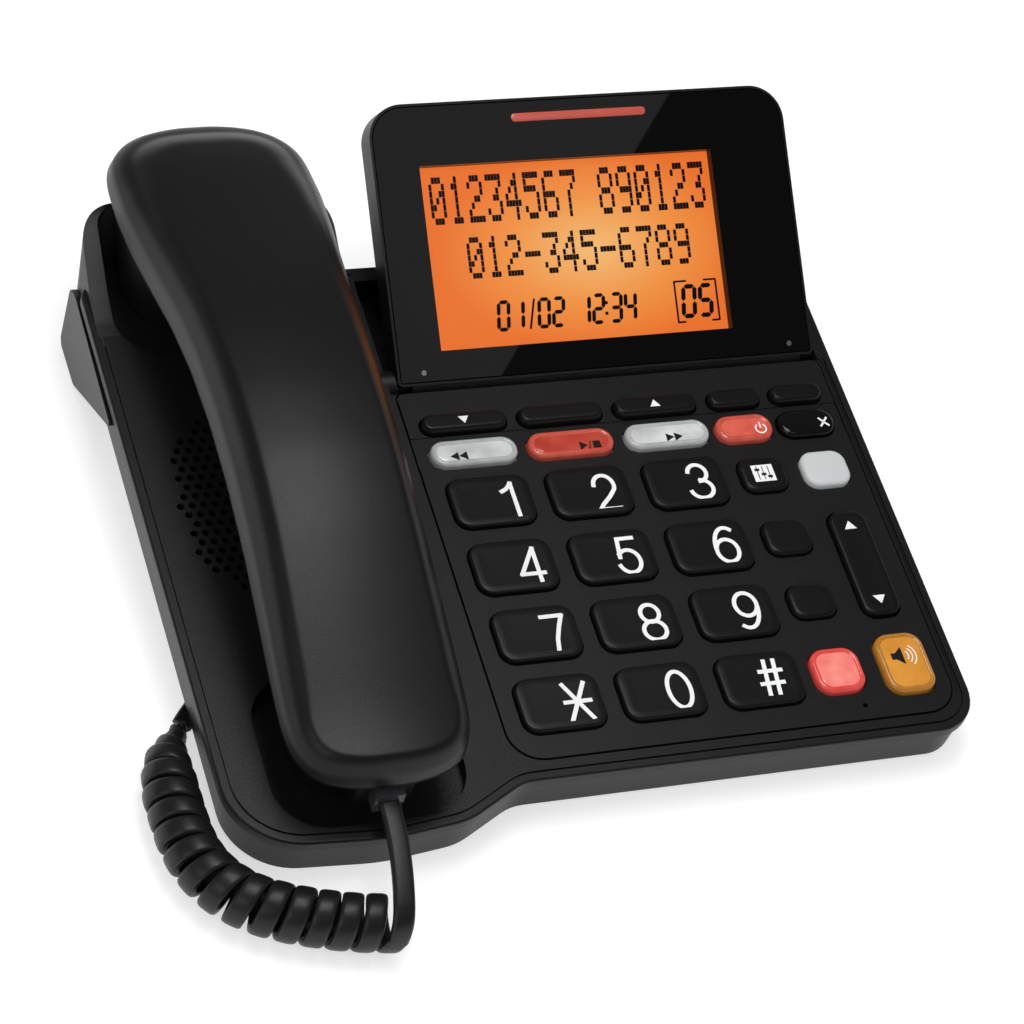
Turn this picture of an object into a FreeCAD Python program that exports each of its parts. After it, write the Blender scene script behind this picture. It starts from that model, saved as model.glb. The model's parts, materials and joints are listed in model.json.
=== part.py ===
import FreeCAD, Part
import math
import os
from FreeCAD import Placement, Rotation, Vector

# Corded desk telephone with an answering machine. Millimetres and degrees.
#
# Deck frame: x to the right from the middle of the deck, y back from the front edge of the
# key side, z up from the deck's face. The deck frame leans back by deck_tilt in the row frame.
# Display frame: x as the deck, y up along the lens from its lower edge, z out of the lens.

# ---- stance
deck_tilt = 5.0
deck_lift = 15.2          # height of the deck's front edge over the desk

# ---- deck and tub
deck_right = 104.8
deck_left_front = -102.6   # the cradle side's edge, slightly splayed towards the rear
deck_left_rear = -104.4
deck_depth = 171.3
deck_rear_splay = 1.7     # how much deeper the cradle side is
deck_depth_left = deck_depth + deck_rear_splay
deck_thickness = 2.4
rim_height = 3.0          # the top housing's edge
slab_height = 14.0        # deck face to the underside
tub_step = 0.8            # how far the tub stands back under the rim
tub_draft = 0.7           # how far its walls lean in
tub_wall = 1.6
tub_floor = 1.8
rim_groove_inset = 2.2
rim_groove_width = 0.6
rim_groove_depth = 0.6
rim_round = 0.7
side_corner_radius = 20.0
key_corner_radius = 12.0
rear_corner_radius = 6.0
bulge_side_y = -8.6       # the cradle side's front edge, as corners of a rounded line
bulge_points = [(-63.0, -11.4, 60.0), (-42.0, -9.0, 20.0), (-25.0, 0.0, 12.0)]

# ---- cradle
cradle_x = -64.8          # middle of the pockets
pocket_wall = 1.6
pocket_depth = 4.3
ear_pocket_half = 32.2
ear_pocket_shift = -0.6
ear_pocket_front = 146.0
ear_pocket_rear = 190.2
ear_pocket_front_radius = 13.0
ear_pocket_rear_radius = 6.5
mouth_pocket_half = 25.6
mouth_pocket_front = -6.3
mouth_pocket_rear = 39.5
mouth_pocket_radius = 14.0
hood_left = -102.0
hood_right = -31.0
hood_rear = 192.0
hood_corner_radius = 11.0
hood_profile = [(150.0, -0.3), (158.0, 0.4), (166.0, 2.1), (176.0, 6.2), (184.0, 9.3), (189.0, 10.5),
                (194.0, 10.6)]
hood_profile_round = 18.0
hood_wall = hood_rear - ear_pocket_rear
hood_foot_z = -7.0
hood_foot_lean = (-1.2, 8.5)   # how far the foot of the walls stands in, at the sides and the rear
hood_top_z = 12.0
hood_foot_radius = 10.0

# ---- speaker grille and loudspeaker
grille_y = 95.0
grille_half_x = 28.4
grille_half_y = 29.6
grille_hole_radius = 1.0
grille_pitch_x = 3.15
grille_pitch_y = 3.0
grille_power = 3.0
speaker_radius = 20.0
speaker_depth = 9.4
magnet_radius = 12.0

# ---- keypad faceplate
plate_left = -25.8
plate_right = 100.3
plate_front = 6.1
plate_back = 125.6
plate_thickness = 2.2
plate_front_radius = 9.0
plate_back_radius = 2.0
plate_gap = 0.5
plate_step = 1.5
plate_step_depth = 0.3
ledge_width = 2.0
ledge_thickness = 2.0
band_front = 99.7
band_back = 110.2
band_depth = 0.25
mic_x = 73.8
mic_y = 10.3
mic_hole_radius = 0.7
mic_radius = 2.1
mic_height = 2.4

# ---- keys
key_gap = 0.4
key_travel = 1.2
key_clearance = 0.3
flange_width = 1.0
flange_thickness = 1.0
key_edge_round = 0.5
dial_columns = [-9.3, 18.85, 47.0]
dial_rows = [86.8, 65.0, 43.2, 21.4]
dial_size = (23.0, 16.4, 4.2)
dial_rise = 1.6
dial_names = [["key_1", "key_2", "key_3"], ["key_4", "key_5", "key_6"],
              ["key_7", "key_8", "key_9"], ["key_star", "key_0", "key_pound"]]
# name, x, y, width, height, corner radius, rise over the faceplate
other_keys = [
    ("call_log_button", -9.8, 113.6, 24.6, 6.0, 2.9, 2.4),
    ("menu_button", 18.2, 113.6, 24.6, 6.0, 2.9, 2.4),
    ("directory_button", 46.3, 113.6, 24.6, 6.0, 2.9, 2.4),
    ("cancel_button", 70.0, 113.6, 15.6, 6.0, 2.9, 2.4),
    ("redial_button", 88.9, 113.6, 15.6, 6.0, 2.9, 2.4),
    ("repeat_button", -9.7, 103.4, 24.8, 8.6, 4.2, 1.8),
    ("play_stop_button", 18.3, 103.4, 24.8, 8.6, 4.2, 1.8),
    ("skip_button", 46.7, 103.4, 24.8, 8.6, 4.2, 1.8),
    ("answer_on_button", 69.8, 103.2, 16.8, 9.0, 4.2, 1.8),
    ("delete_button", 88.7, 103.2, 16.8, 9.0, 4.2, 1.8),
    ("equalizer_button", 70.1, 87.0, 13.4, 11.4, 3.6, 1.6),
    ("audio_assist_button", 88.9, 87.0, 13.6, 11.8, 4.0, 1.8),
    ("speed_dial_button", 70.0, 65.5, 13.6, 11.4, 3.8, 1.6),
    ("flash_button", 69.8, 44.2, 13.2, 11.0, 3.8, 1.6),
    ("mute_button", 69.3, 21.4, 14.2, 13.9, 4.6, 1.8),
    ("speaker_button", 89.1, 21.4, 14.2, 18.8, 4.6, 1.8),
]
rocker = ("volume_rocker", 89.1, 54.6, 11.2, 34.6, 3.8, 1.6)
rocker_dome_reach = 10.0
rocker_pivot_radius = 1.3 # it tilts on two round lugs at its middle
rocker_pivot_z = -3.8
rocker_end_gap = 0.7

# ---- inside the tub
mat_margin = 2.6          # from the faceplate's edge
mat_thickness = 1.0
dome_height = 1.4
dome_radius = 2.8
dome_top_radius = 2.0
board_thickness = 1.6
boss_radius = 3.0
screw_radius = 1.4
screw_head_radius = 2.6
screw_head_height = 1.6
screw_boss_radius = 3.4
screw_places = [(-97.4, 122.0), (-97.4, 32.0), (-33.6, 118.0), (-33.6, 48.0)]

# ---- hook switch
plunger_y = deck_depth_left - 9.0
plunger_size = (9.0, 5.0)
plunger_length = 6.4
plunger_clearance = 0.3
plunger_flange = 1.0

# ---- display
display_left = -24.3
display_right = 100.0
display_height = 78.0
display_depth = 9.2
display_tilt = 31.0
display_foot_y = 128.0    # where the lens's lower edge meets the deck's plane
display_top_radius = 10.0
display_foot_radius = 1.5
display_foot_depth = 7.2
display_wedge_top = 50.0
display_lip = 0.7
display_wall = 2.0
display_edge_round = 1.6
lens_thickness = 1.5
lens_gap = 0.1
bezel_thickness = 1.3
window_left = -10.9
window_right = 76.2
window_low = 9.1
window_high = 60.4
panel_border = 2.2
panel_thickness = 1.2
backlight_thickness = 1.5
stack_gap = 0.05
light_left = 17.5
light_right = 57.9
light_low = 71.3
light_high = 73.8
dot_places = [(-16.6, 3.4), (92.9, 3.5)]
dot_radius = 0.8
hinge_y = 131.2
hinge_z = -3.6
hinge_barrel_radius = 4.6
hinge_barrel_inset = 4.0
hinge_pin_radius = 2.0
hinge_running_gap = 0.05
hinge_bore_depth = 9.0
hinge_boss_radius = 4.4

# ---- display bay in the deck
bay_side_gap = 3.0
bay_right_gap = 0.5
bay_right_wall = 1.0
bay_wall = 1.6
bay_depth = 9.2
bay_turning_gap = 0.8
bay_tub_gap = 0.3

# ---- bracket under the rear, in the row frame as (y, z)
bracket_half_width = deck_right - 0.1
bracket_wall = 2.2
bracket_profile = [(deck_depth - 46.1, 21.8, 1.0), (deck_depth - 9.4, 1.0, 4.0), (deck_depth + 7.6, 1.0, 2.5),
                   (deck_depth + 5.3, 24.0, 3.0), (deck_depth - 0.3, 25.8, 2.0)]
bracket_window = (-14.0, 42.0)
slot_spacing = 60.0
slot_half_width = 2.2
slot_length = 10.0
slot_y = deck_depth - 1.3
foot_radius = 6.0
foot_inset_x = 16.0
front_foot_y = 12.0
rear_foot_y = slot_y
foot_height = 1.0

# ---- jacks
line_jack_x = 28.0
power_jack_x = -2.0
jack_size = (15.0, 13.0, 11.0)
jack_rear = deck_depth - 5.3
line_socket = (11.8, 7.6, 9.5)
power_socket_radius = 2.9
power_socket_depth = 9.0
cord_jack_front = 78.0
cord_jack_rear = 90.6
channel_left = -99.0
channel_right = -87.4
channel_front = 44.0
channel_height = 8.6

# ---- handset, in a frame of its own: x from its middle, y and z as the deck
handset_x = -65.3
handset_pivot_y = 100.0
handset_turn = 0.45       # it lies slightly askew in the cradle
# y, half width, seam height, height of the crown
outer_stations = [
    (210.2, 5.0, 16.2, 17.6), (209.4, 11.3, 16.0, 19.4), (207.8, 16.9, 16.0, 21.0),
    (205.0, 21.7, 16.0, 22.9), (202.0, 24.6, 16.0, 24.5), (198.6, 26.7, 16.2, 25.9),
    (194.5, 27.9, 16.5, 27.4), (190.0, 28.4, 16.8, 28.8), (178.0, 28.8, 17.8, 31.4),
    (165.0, 28.0, 19.3, 34.0), (150.0, 26.5, 22.0, 37.0), (135.0, 25.0, 25.0, 39.8),
    (118.0, 24.0, 27.4, 42.0), (100.0, 23.6, 28.4, 43.0), (80.0, 23.5, 27.6, 42.4),
    (60.0, 23.5, 24.6, 39.8), (42.0, 23.7, 20.6, 36.0), (26.0, 24.0, 17.2, 32.2),
    (14.0, 24.0, 15.2, 29.8), (8.0, 23.5, 14.8, 28.7), (3.5, 22.0, 14.4, 27.5),
    (0.0, 19.7, 14.2, 26.2), (-2.2, 16.6, 14.0, 24.3), (-3.9, 12.0, 14.0, 21.6), (-5.0, 5.5, 14.0, 17.6)]
# y, how far it stands inside the outer shell's edge, height of its underside
inner_stations = [
    (208.0, 3.6, 14.4), (203.0, 2.4, 13.4), (196.0, 1.7, 12.8), (186.0, 1.6, 11.8),
    (170.0, 1.6, 11.4), (150.0, 1.7, 13.4), (136.0, 1.7, 16.4), (124.0, 1.6, 19.6),
    (100.0, 1.6, 21.0), (76.0, 1.6, 20.2), (58.0, 1.6, 17.0), (46.0, 1.6, 14.0),
    (34.0, 1.7, 11.0), (20.0, 1.8, 9.5), (6.0, 2.2, 9.0), (0.0, 2.6, 9.8), (-2.6, 3.4, 11.2)]
cup_bottom = -4.0
# half width, front, rear, front and rear corner radius, height of the top inside the shell
ear_cup_rear = ear_pocket_rear - 0.8
ear_cup = (26.4, 156.5, ear_cup_rear, 17.0, 7.0, 15.5)
mouth_cup = (18.0, 5.0, 33.0, 12.0, 10.0, 12.5)
ear_cup_slope = (174.0, ear_cup_rear, 11.4)   # its underside rises to the rear from y to y, up to z
shell_power = 3.2
shell_wall = 2.2
seam_gap = 0.2
section_points = 15
receiver_y = 167.0
receiver_lift = 3.0       # height of the ring that carries the receiver
receiver_ring = 2.0
receiver_radius = 8.0
receiver_height = 7.0
ear_hole_radius = 1.2
ear_hole_ring = 4.6
mouth_mic_y = 19.0
mouth_mic_radius = 4.8
mouth_mic_height = 5.0

# ---- cord; the plugs are in the deck frame, the routes in the row frame before it is centred
plug_size = (7.6, 12.0, 6.4)
plug_fit = 0.1
handset_plug_front = -6.0
handset_plug_z = 8.0
handset_seat_front = -2.0
base_plug_front = 71.6
base_plug_z = -10.2
lead_radius = 2.0
cord_end_gap = 0.6        # from a plug's face to the wire's round end
coil_radius = 7.35
lead_route = [(-64.2, -13.4, 21.2), (-64.6, -20.0, 19.4), (-65.2, -26.0, 17.0), (-65.8, -31.4, 13.8)]
coil_route = [(-65.0, -31.8, 7.4), (-74.0, -30.4, 7.4), (-84.0, -27.9, 7.4), (-94.2, -24.1, 7.4),
              (-102.8, -18.9, 7.4), (-108.8, -11.6, 7.4), (-112.0, -2.6, 7.4), (-112.6, 7.6, 7.4)]
# middle and radius of the coil where it runs out into the straight tail
taper_route = [((-111.8, 17.0, 6.1), 6.0), ((-109.6, 26.5, 4.2), 4.1), ((-106.0, 34.6, 2.6), 2.4)]
tail_route = [(-102.2, 41.6, 2.2), (-97.2, 46.8, 2.2), (-93.8, 52.6, 3.2), (-93.2, 58.6, 6.4),
              (-93.2, 64.6, 9.6)]
big = 400.0


def rounded_points(corners):
    """Start, middle and end of the arc at each (a, b, radius) corner of a closed outline."""
    found = []
    for i, (a, b, radius) in enumerate(corners):
        here = Vector(a, b, 0)
        before = Vector(corners[i - 1][0], corners[i - 1][1], 0)
        after = Vector(corners[(i + 1) % len(corners)][0], corners[(i + 1) % len(corners)][1], 0)
        way_in = (here - before).normalize()
        way_out = (after - here).normalize()
        half_turn = way_in.getAngle(way_out) / 2
        reach = radius * math.tan(half_turn)
        inward = (way_out - way_in).normalize()
        middle = here + inward * (radius / math.cos(half_turn) - radius)
        found.append((here - way_in * reach, middle, here + way_out * reach))
    return found


def rounded_wire(corners, lift):
    """Closed wire of lines and arcs; lift puts a flat point into space."""
    arcs = rounded_points(corners)
    edges = []
    for i, (start, middle, end) in enumerate(arcs):
        edges.append(Part.Arc(lift(start), lift(middle), lift(end)).toShape())
        following = arcs[(i + 1) % len(arcs)][0]
        if (following - end).Length > 1e-6:
            edges.append(Part.LineSegment(lift(end), lift(following)).toShape())
    return Part.Wire(edges)


def flat_wire(corners, z=0.0):
    return rounded_wire(corners, lambda p: Vector(p.x, p.y, z))


def prism(wire, low, high):
    """Upright solid between two heights over a wire that lies at height 0."""
    face = Part.Face(wire)
    face.translate(Vector(0, 0, low))
    return face.extrude(Vector(0, 0, high - low))


def grown(wire, amount):
    return wire.makeOffset2D(amount)


def side_prism(corners, left, right):
    """Solid of a (y, z, radius) profile carried along x."""
    wire = rounded_wire(corners, lambda p: Vector(left, p.x, p.y))
    return Part.Face(wire).extrude(Vector(right - left, 0, 0))


def rect(x, y, width, height, radius):
    a, b = width / 2, height / 2
    return [(x - a, y - b, radius), (x + a, y - b, radius), (x + a, y + b, radius), (x - a, y + b, radius)]


def block(x0, x1, y0, y1, z0, z1):
    return Part.makeBox(x1 - x0, y1 - y0, z1 - z0, Vector(x0, y0, z0))


def rod(x, y, low, high, radius):
    return Part.makeCylinder(radius, high - low, Vector(x, y, low))


def cross_rod(x0, x1, y, z, radius):
    return Part.makeCylinder(radius, x1 - x0, Vector(x0, y, z), Vector(1, 0, 0))


# ---- frames

deck_frame = Placement(Vector(0, 0, deck_lift), Rotation(Vector(1, 0, 0), deck_tilt))
display_frame = deck_frame.multiply(
    Placement(Vector(0, display_foot_y, 0), Rotation(Vector(1, 0, 0), display_tilt)))
handset_lie = Placement(Vector(handset_x, handset_pivot_y, 0), Rotation(Vector(0, 0, 1), handset_turn))
handset_lie = handset_lie.multiply(Placement(Vector(0, -handset_pivot_y, 0), Rotation()))
handset_frame = deck_frame.multiply(handset_lie)


def in_frame(shape, frame):
    placed = shape.copy()
    placed.Placement = frame.multiply(placed.Placement)
    return placed


# ---- outlines shared by several pieces

deck_corners = ([(deck_left_front, bulge_side_y, side_corner_radius)] + bulge_points
                + [(deck_right, 0.0, key_corner_radius), (deck_right, deck_depth, rear_corner_radius),
                   (hood_right, deck_depth, side_corner_radius),
                   (deck_left_rear, deck_depth_left, rear_corner_radius)])
deck_wire = flat_wire(deck_corners)
plate_wire = flat_wire([(plate_left, plate_front, plate_front_radius),
                        (plate_right, plate_front, plate_front_radius),
                        (plate_right, plate_back, plate_back_radius),
                        (plate_left, plate_back, plate_back_radius)])
ear_x = cradle_x + ear_pocket_shift
ear_wire = flat_wire([(ear_x - ear_pocket_half, ear_pocket_front, ear_pocket_front_radius),
                      (ear_x + ear_pocket_half, ear_pocket_front, ear_pocket_front_radius),
                      (ear_x + ear_pocket_half, ear_pocket_rear, ear_pocket_rear_radius),
                      (ear_x - ear_pocket_half, ear_pocket_rear, ear_pocket_rear_radius)])
mouth_wire = flat_wire([(cradle_x - mouth_pocket_half, mouth_pocket_front, mouth_pocket_radius),
                        (cradle_x + mouth_pocket_half, mouth_pocket_front, mouth_pocket_radius),
                        (cradle_x + mouth_pocket_half, mouth_pocket_rear, mouth_pocket_radius),
                        (cradle_x - mouth_pocket_half, mouth_pocket_rear, mouth_pocket_radius)])
bay_left = display_left - bay_side_gap
bay_right = display_right + bay_right_gap
bay_front = hinge_y - hinge_barrel_radius - bay_turning_gap
bay_rear = deck_depth - tub_step - tub_draft - tub_wall - bay_tub_gap - bay_wall
flange_top = -plate_thickness - key_clearance
flange_bottom = flange_top - flange_thickness
mat_top = flange_bottom - key_travel - key_clearance - dome_height
board_top = mat_top - mat_thickness
board_bottom = board_top - board_thickness
floor_top = -slab_height + tub_floor


def key_list():
    """Every travelling key as (name, x, y, width, height, radius, rise)."""
    width, height, radius = dial_size
    keys = []
    for names, y in zip(dial_names, dial_rows):
        for name, x in zip(names, dial_columns):
            keys.append((name, x, y, width, height, radius, dial_rise))
    return keys + other_keys


def tub_inset(z):
    """How far the tub's outside leans in at height z."""
    return tub_step + tub_draft * (-z - rim_height) / (slab_height - rim_height)


def tub_envelope():
    top = grown(deck_wire, -tub_inset(-rim_height))
    top.translate(Vector(0, 0, -rim_height))
    low = grown(deck_wire, -tub_inset(-slab_height))
    low.translate(Vector(0, 0, -slab_height))
    return Part.makeLoft([top, low], True, True)


def tub_cavity():
    top = grown(deck_wire, -tub_wall - tub_inset(-rim_height))
    top.translate(Vector(0, 0, -rim_height))
    low = grown(deck_wire, -tub_wall - tub_inset(floor_top))
    low.translate(Vector(0, 0, floor_top))
    return Part.makeLoft([top, low], True, True)


def hood_plan(lean_side, lean_rear, radius, z):
    front = hood_profile[0][0]
    return flat_wire([(hood_left + lean_side, front, 1.0), (hood_right - lean_side, front, 1.0),
                      (hood_right - lean_side, hood_rear - lean_rear, radius),
                      (hood_left + lean_side, hood_rear - lean_rear, radius)], z)


def hood_envelope():
    """The raised end of the cradle: leaning walls kept under the side profile."""
    lean_side, lean_rear = hood_foot_lean
    walls = Part.makeLoft([hood_plan(lean_side, lean_rear, hood_foot_radius, hood_foot_z),
                           hood_plan(0, 0, hood_corner_radius, hood_top_z)], True, True)
    front, rear = hood_profile[0][0], hood_profile[-1][0]
    side = ([(front, hood_foot_z, 0.5), (front, hood_profile[0][1], 0.5)]
            + [(y, z, hood_profile_round) for y, z in hood_profile[1:-1]]
            + [(rear + 1, hood_profile[-1][1], 0.5), (rear + 1, hood_foot_z, 0.5)])
    return walls.common(side_prism(side, hood_left - 5, hood_right + 5))


def behind_hood(forward):
    """The room behind the hood's leaning rear wall, moved forward by an amount."""
    top = hood_rear - forward
    lean = hood_foot_lean[1] / (hood_top_z - hood_foot_z)
    low = -slab_height
    return side_prism([(top - lean * (hood_top_z - low), low, 0.1), (top + big, low, 0.1),
                       (top + big, hood_top_z, 0.1), (top, hood_top_z, 0.1)], hood_left - 5, hood_right + 5)


def grille_places():
    places = []
    rows = int(grille_half_y / grille_pitch_y)
    columns = int(grille_half_x / grille_pitch_x)
    for row in range(-rows, rows + 1):
        shift = 0.5 * (row % 2)
        for column in range(-columns - 1, columns + 1):
            dx = (column + shift) * grille_pitch_x
            dy = row * grille_pitch_y
            reach = (abs(dx) / grille_half_x) ** grille_power + (abs(dy) / grille_half_y) ** grille_power
            if reach < 1.0:
                places.append((cradle_x + dx, grille_y + dy))
    return places


def top_housing():
    plate = prism(deck_wire, -rim_height, 0)
    top_edges = [e for e in plate.Edges if abs(e.BoundBox.ZMin) < 1e-6]
    plate = plate.makeFillet(rim_round, top_edges)
    plate = plate.cut(prism(grown(deck_wire, -deck_thickness), -rim_height, -deck_thickness))
    walls = [prism(grown(plate_wire, ledge_width), -plate_thickness - ledge_thickness, -1.0),
             prism(grown(ear_wire, pocket_wall), -pocket_depth - pocket_wall, -1.0).cut(behind_hood(0)),
             prism(grown(mouth_wire, pocket_wall), -pocket_depth - pocket_wall, -1.0),
             block(bay_left - bay_wall, bay_right + bay_right_wall, bay_front - bay_wall, bay_rear + bay_wall,
                   -bay_depth - bay_wall, -1.0),
             hood_envelope()]
    body = plate.fuse(walls)
    groove_out = grown(deck_wire, -rim_groove_inset)
    groove_in = grown(deck_wire, -rim_groove_inset - rim_groove_width)
    groove = prism(groove_out, -rim_groove_depth, 1).cut(prism(groove_in, -rim_groove_depth, 1))
    groove = groove.cut(hood_envelope()).cut(block(bay_left, big, bay_front, big, -5, 5))
    bay = block(bay_left, bay_right, bay_front, bay_rear, -bay_depth, big)
    over_display = block(bay_left, big, bay_front, bay_rear, 0, big)
    cuts = [groove, bay, over_display,
            prism(grown(plate_wire, plate_step), -plate_step_depth, 5),
            prism(grown(plate_wire, plate_gap), -plate_thickness, 5),
            prism(grown(plate_wire, -ledge_width), -20, 5),
            prism(ear_wire, -pocket_depth, big).cut(behind_hood(hood_wall)),
            prism(mouth_wire, -pocket_depth, 5)]
    body = body.cut(cuts)
    width, length = plunger_size
    shaft_hole = prism(flat_wire(rect(cradle_x, plunger_y, width + 2 * plunger_clearance,
                                      length + 2 * plunger_clearance, 1.5)), -20, 0)
    foot_room = prism(plunger_foot_wire(2 * plunger_clearance), -20, -pocket_depth - pocket_wall)
    holes = [rod(x, y, -5, 1, grille_hole_radius) for x, y in grille_places()]
    body = body.cut([shaft_hole, foot_room] + holes)
    boss = cross_rod(bay_left - bay_wall, display_left - bay_right_gap, hinge_y, hinge_z, hinge_boss_radius)
    body = body.fuse(boss)
    pin_hole = cross_rod(bay_left - 2 * bay_wall, bay_right + 2 * bay_right_wall, hinge_y, hinge_z,
                         hinge_pin_radius)
    return body.cut(pin_hole).removeSplitter()


def jack_blocks():
    width, length, height = jack_size
    return [block(x - width / 2, x + width / 2, jack_rear - length, jack_rear, -slab_height - height,
                  -slab_height) for x in (line_jack_x, power_jack_x)]


def bottom_housing():
    body = tub_envelope().cut(tub_cavity())
    channel_top = -slab_height + channel_height
    surround = block(channel_left - 0.6, channel_right + tub_wall, channel_front - tub_wall,
                     cord_jack_rear + tub_wall, floor_top - 0.5, channel_top + tub_wall)
    posts = [rod(x, y, floor_top - 0.5, board_bottom, boss_radius) for x, y in board_posts()]
    screw_posts = [rod(x, y, floor_top - 0.5, -deck_thickness, screw_boss_radius) for x, y in screw_places]
    body = body.fuse([surround] + posts + screw_posts)
    channel = block(channel_left, channel_right, channel_front, cord_jack_rear, -slab_height - 1, channel_top)
    bores = [rod(x, y, -slab_height - 1, -deck_thickness, screw_radius) for x, y in screw_places]
    seats = [rod(x, y, -slab_height - 1, -slab_height + screw_head_height, screw_head_radius)
             for x, y in screw_places]
    return body.cut([channel, hood_envelope()] + bores + seats).removeSplitter()


def board_edges():
    return (plate_left + mat_margin, plate_right - mat_margin, plate_front + mat_margin, plate_back - 6.0)


def board_posts():
    left, right, front, back = board_edges()
    inset = boss_radius + 1.0
    return [(left + inset, front + inset), (right - inset, front + inset),
            (left + inset, back - inset), (right - inset, back - inset)]


def base_screws():
    solids = []
    for x, y in screw_places:
        head = rod(x, y, -slab_height + 0.1, -slab_height + screw_head_height, screw_head_radius - 0.2)
        shank = rod(x, y, -slab_height + screw_head_height, -deck_thickness - 1.0, screw_radius)
        solids.append(head.fuse(shank).removeSplitter())
    return Part.makeCompound(solids)


def faceplate():
    plate = prism(plate_wire, -plate_thickness, 0)
    holes = [prism(flat_wire(rect(x, y, w + 2 * key_gap, h + 2 * key_gap, r + key_gap)), -5, 5)
             for name, x, y, w, h, r, rise in key_list()]
    name, x, y, w, h, r, rise = rocker
    holes.append(prism(flat_wire(rect(x, y, w + 2 * key_gap, h + 2 * rocker_end_gap, r + key_gap)), -5, 5))
    band = block(plate_left - 1, plate_right + 1, band_front, band_back, -band_depth, 5)
    return plate.cut(holes + [band, rod(mic_x, mic_y, -5, 5, mic_hole_radius)])


def key_solid(x, y, width, height, radius, rise):
    outline = flat_wire(rect(x, y, width, height, radius))
    cap = prism(outline, flange_top, rise)
    top = [e for e in cap.Edges if abs(e.BoundBox.ZMin - rise) < 1e-6]
    cap = cap.makeFillet(key_edge_round, top)
    flange = prism(grown(outline, flange_width), flange_bottom, flange_top)
    return cap.fuse(flange).removeSplitter()


def rocker_solid(x, y, width, height, radius, rise):
    outline = flat_wire(rect(x, y, width, height, radius))
    cap = prism(outline, flange_bottom, rise)
    top = [e for e in cap.Edges if abs(e.BoundBox.ZMin - rise) < 1e-6]
    reach = width / 2 + flange_width
    neck = block(x - width / 2 + 1.0, x + width / 2 - 1.0, y - rocker_pivot_radius, y + rocker_pivot_radius,
                 rocker_pivot_z, flange_top)
    lugs = cross_rod(x - reach, x + reach, y, rocker_pivot_z, rocker_pivot_radius)
    return cap.makeFillet(key_edge_round, top).fuse([neck, lugs]).removeSplitter()


def keypad_mat():
    left, right, front, back = board_edges()
    sheet = prism(flat_wire([(left, front, 6.0), (right, front, 6.0), (right, back, 2.0), (left, back, 2.0)]),
                  board_top, mat_top)
    places = [(key[1], key[2]) for key in key_list()]
    places += [(rocker[1], rocker[2] + reach) for reach in (-rocker_dome_reach, rocker_dome_reach)]
    domes = [Part.makeCone(dome_radius, dome_top_radius, dome_height, Vector(x, y, mat_top)) for x, y in places]
    return sheet.fuse(domes).removeSplitter()


def main_board():
    left, right, front, back = board_edges()
    return block(left, right, front, back, board_bottom, board_top)


def loudspeaker():
    """Basket, cone and magnet as one turned solid under the grille."""
    top = -deck_thickness
    points = [(0, top - speaker_depth), (magnet_radius, top - speaker_depth),
              (magnet_radius, top - speaker_depth + 4.0), (speaker_radius - 1.5, top - 2.2),
              (speaker_radius, top - 2.2), (speaker_radius, top), (speaker_radius - 2.0, top),
              (speaker_radius - 2.0, top - 0.8), (6.0, top - 4.0), (0, top - 3.0), (0, top - speaker_depth)]
    profile = Part.Face(Part.makePolygon([Vector(r, 0, z) for r, z in points]))
    turned = profile.revolve(Vector(0, 0, 0), Vector(0, 0, 1), 360)
    turned.translate(Vector(cradle_x, grille_y, 0))
    return turned


def base_microphone():
    return rod(mic_x, mic_y, -plate_thickness - mic_height, -plate_thickness, mic_radius)


def plunger_foot_wire(extra):
    width, length = plunger_size
    reach = 2 * (plunger_flange + plunger_clearance + extra)
    return flat_wire(rect(cradle_x, plunger_y, width + reach, length + reach, 1.2))


def hook_plunger():
    width, length = plunger_size
    top = -pocket_depth
    shaft = prism(flat_wire(rect(cradle_x, plunger_y, width, length, 1.2)), top - plunger_length, top)
    foot = prism(plunger_foot_wire(0), top - plunger_length - 1.0, top - plunger_length)
    return shaft.fuse(foot).removeSplitter()


def plug_solid(x, front, z):
    """Modular plug with a chamfered nose."""
    width, length, height = plug_size
    body = block(x - width / 2, x + width / 2, front, front + length, z - height / 2, z + height / 2)
    nose = [e for e in body.Edges if abs(e.BoundBox.YMin - front - length) < 1e-6 and e.BoundBox.XLength > 1]
    return body.makeChamfer(0.8, nose)


def handset_plug():
    return plug_solid(0.0, handset_plug_front, handset_plug_z)


def base_plug():
    return plug_solid((channel_left + channel_right) / 2, base_plug_front, base_plug_z)


def plug_room(plug):
    """The plug's box with its fit all round."""
    box = plug.BoundBox
    return block(box.XMin - plug_fit, box.XMax + plug_fit, box.YMin - big, box.YMax + plug_fit,
                 box.ZMin - plug_fit, box.ZMax + plug_fit)


def handset_jack():
    low = -slab_height + 0.2
    high = -slab_height + channel_height
    body = block(channel_left, channel_right, cord_jack_front, cord_jack_rear, low, high)
    return body.cut(plug_room(base_plug()))


def line_jack():
    width, length, height = jack_size
    body = jack_blocks()[0]
    across, up, deep = line_socket
    middle = -slab_height - height / 2
    return body.cut(block(line_jack_x - across / 2, line_jack_x + across / 2, jack_rear - deep, jack_rear + 1,
                          middle - up / 2, middle + up / 2))


def power_jack():
    body = jack_blocks()[1]
    middle = -slab_height - jack_size[2] / 2
    bore = Part.makeCylinder(power_socket_radius, power_socket_depth + 1,
                             Vector(power_jack_x, jack_rear - power_socket_depth, middle), Vector(0, 1, 0))
    return body.cut(bore)


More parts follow.
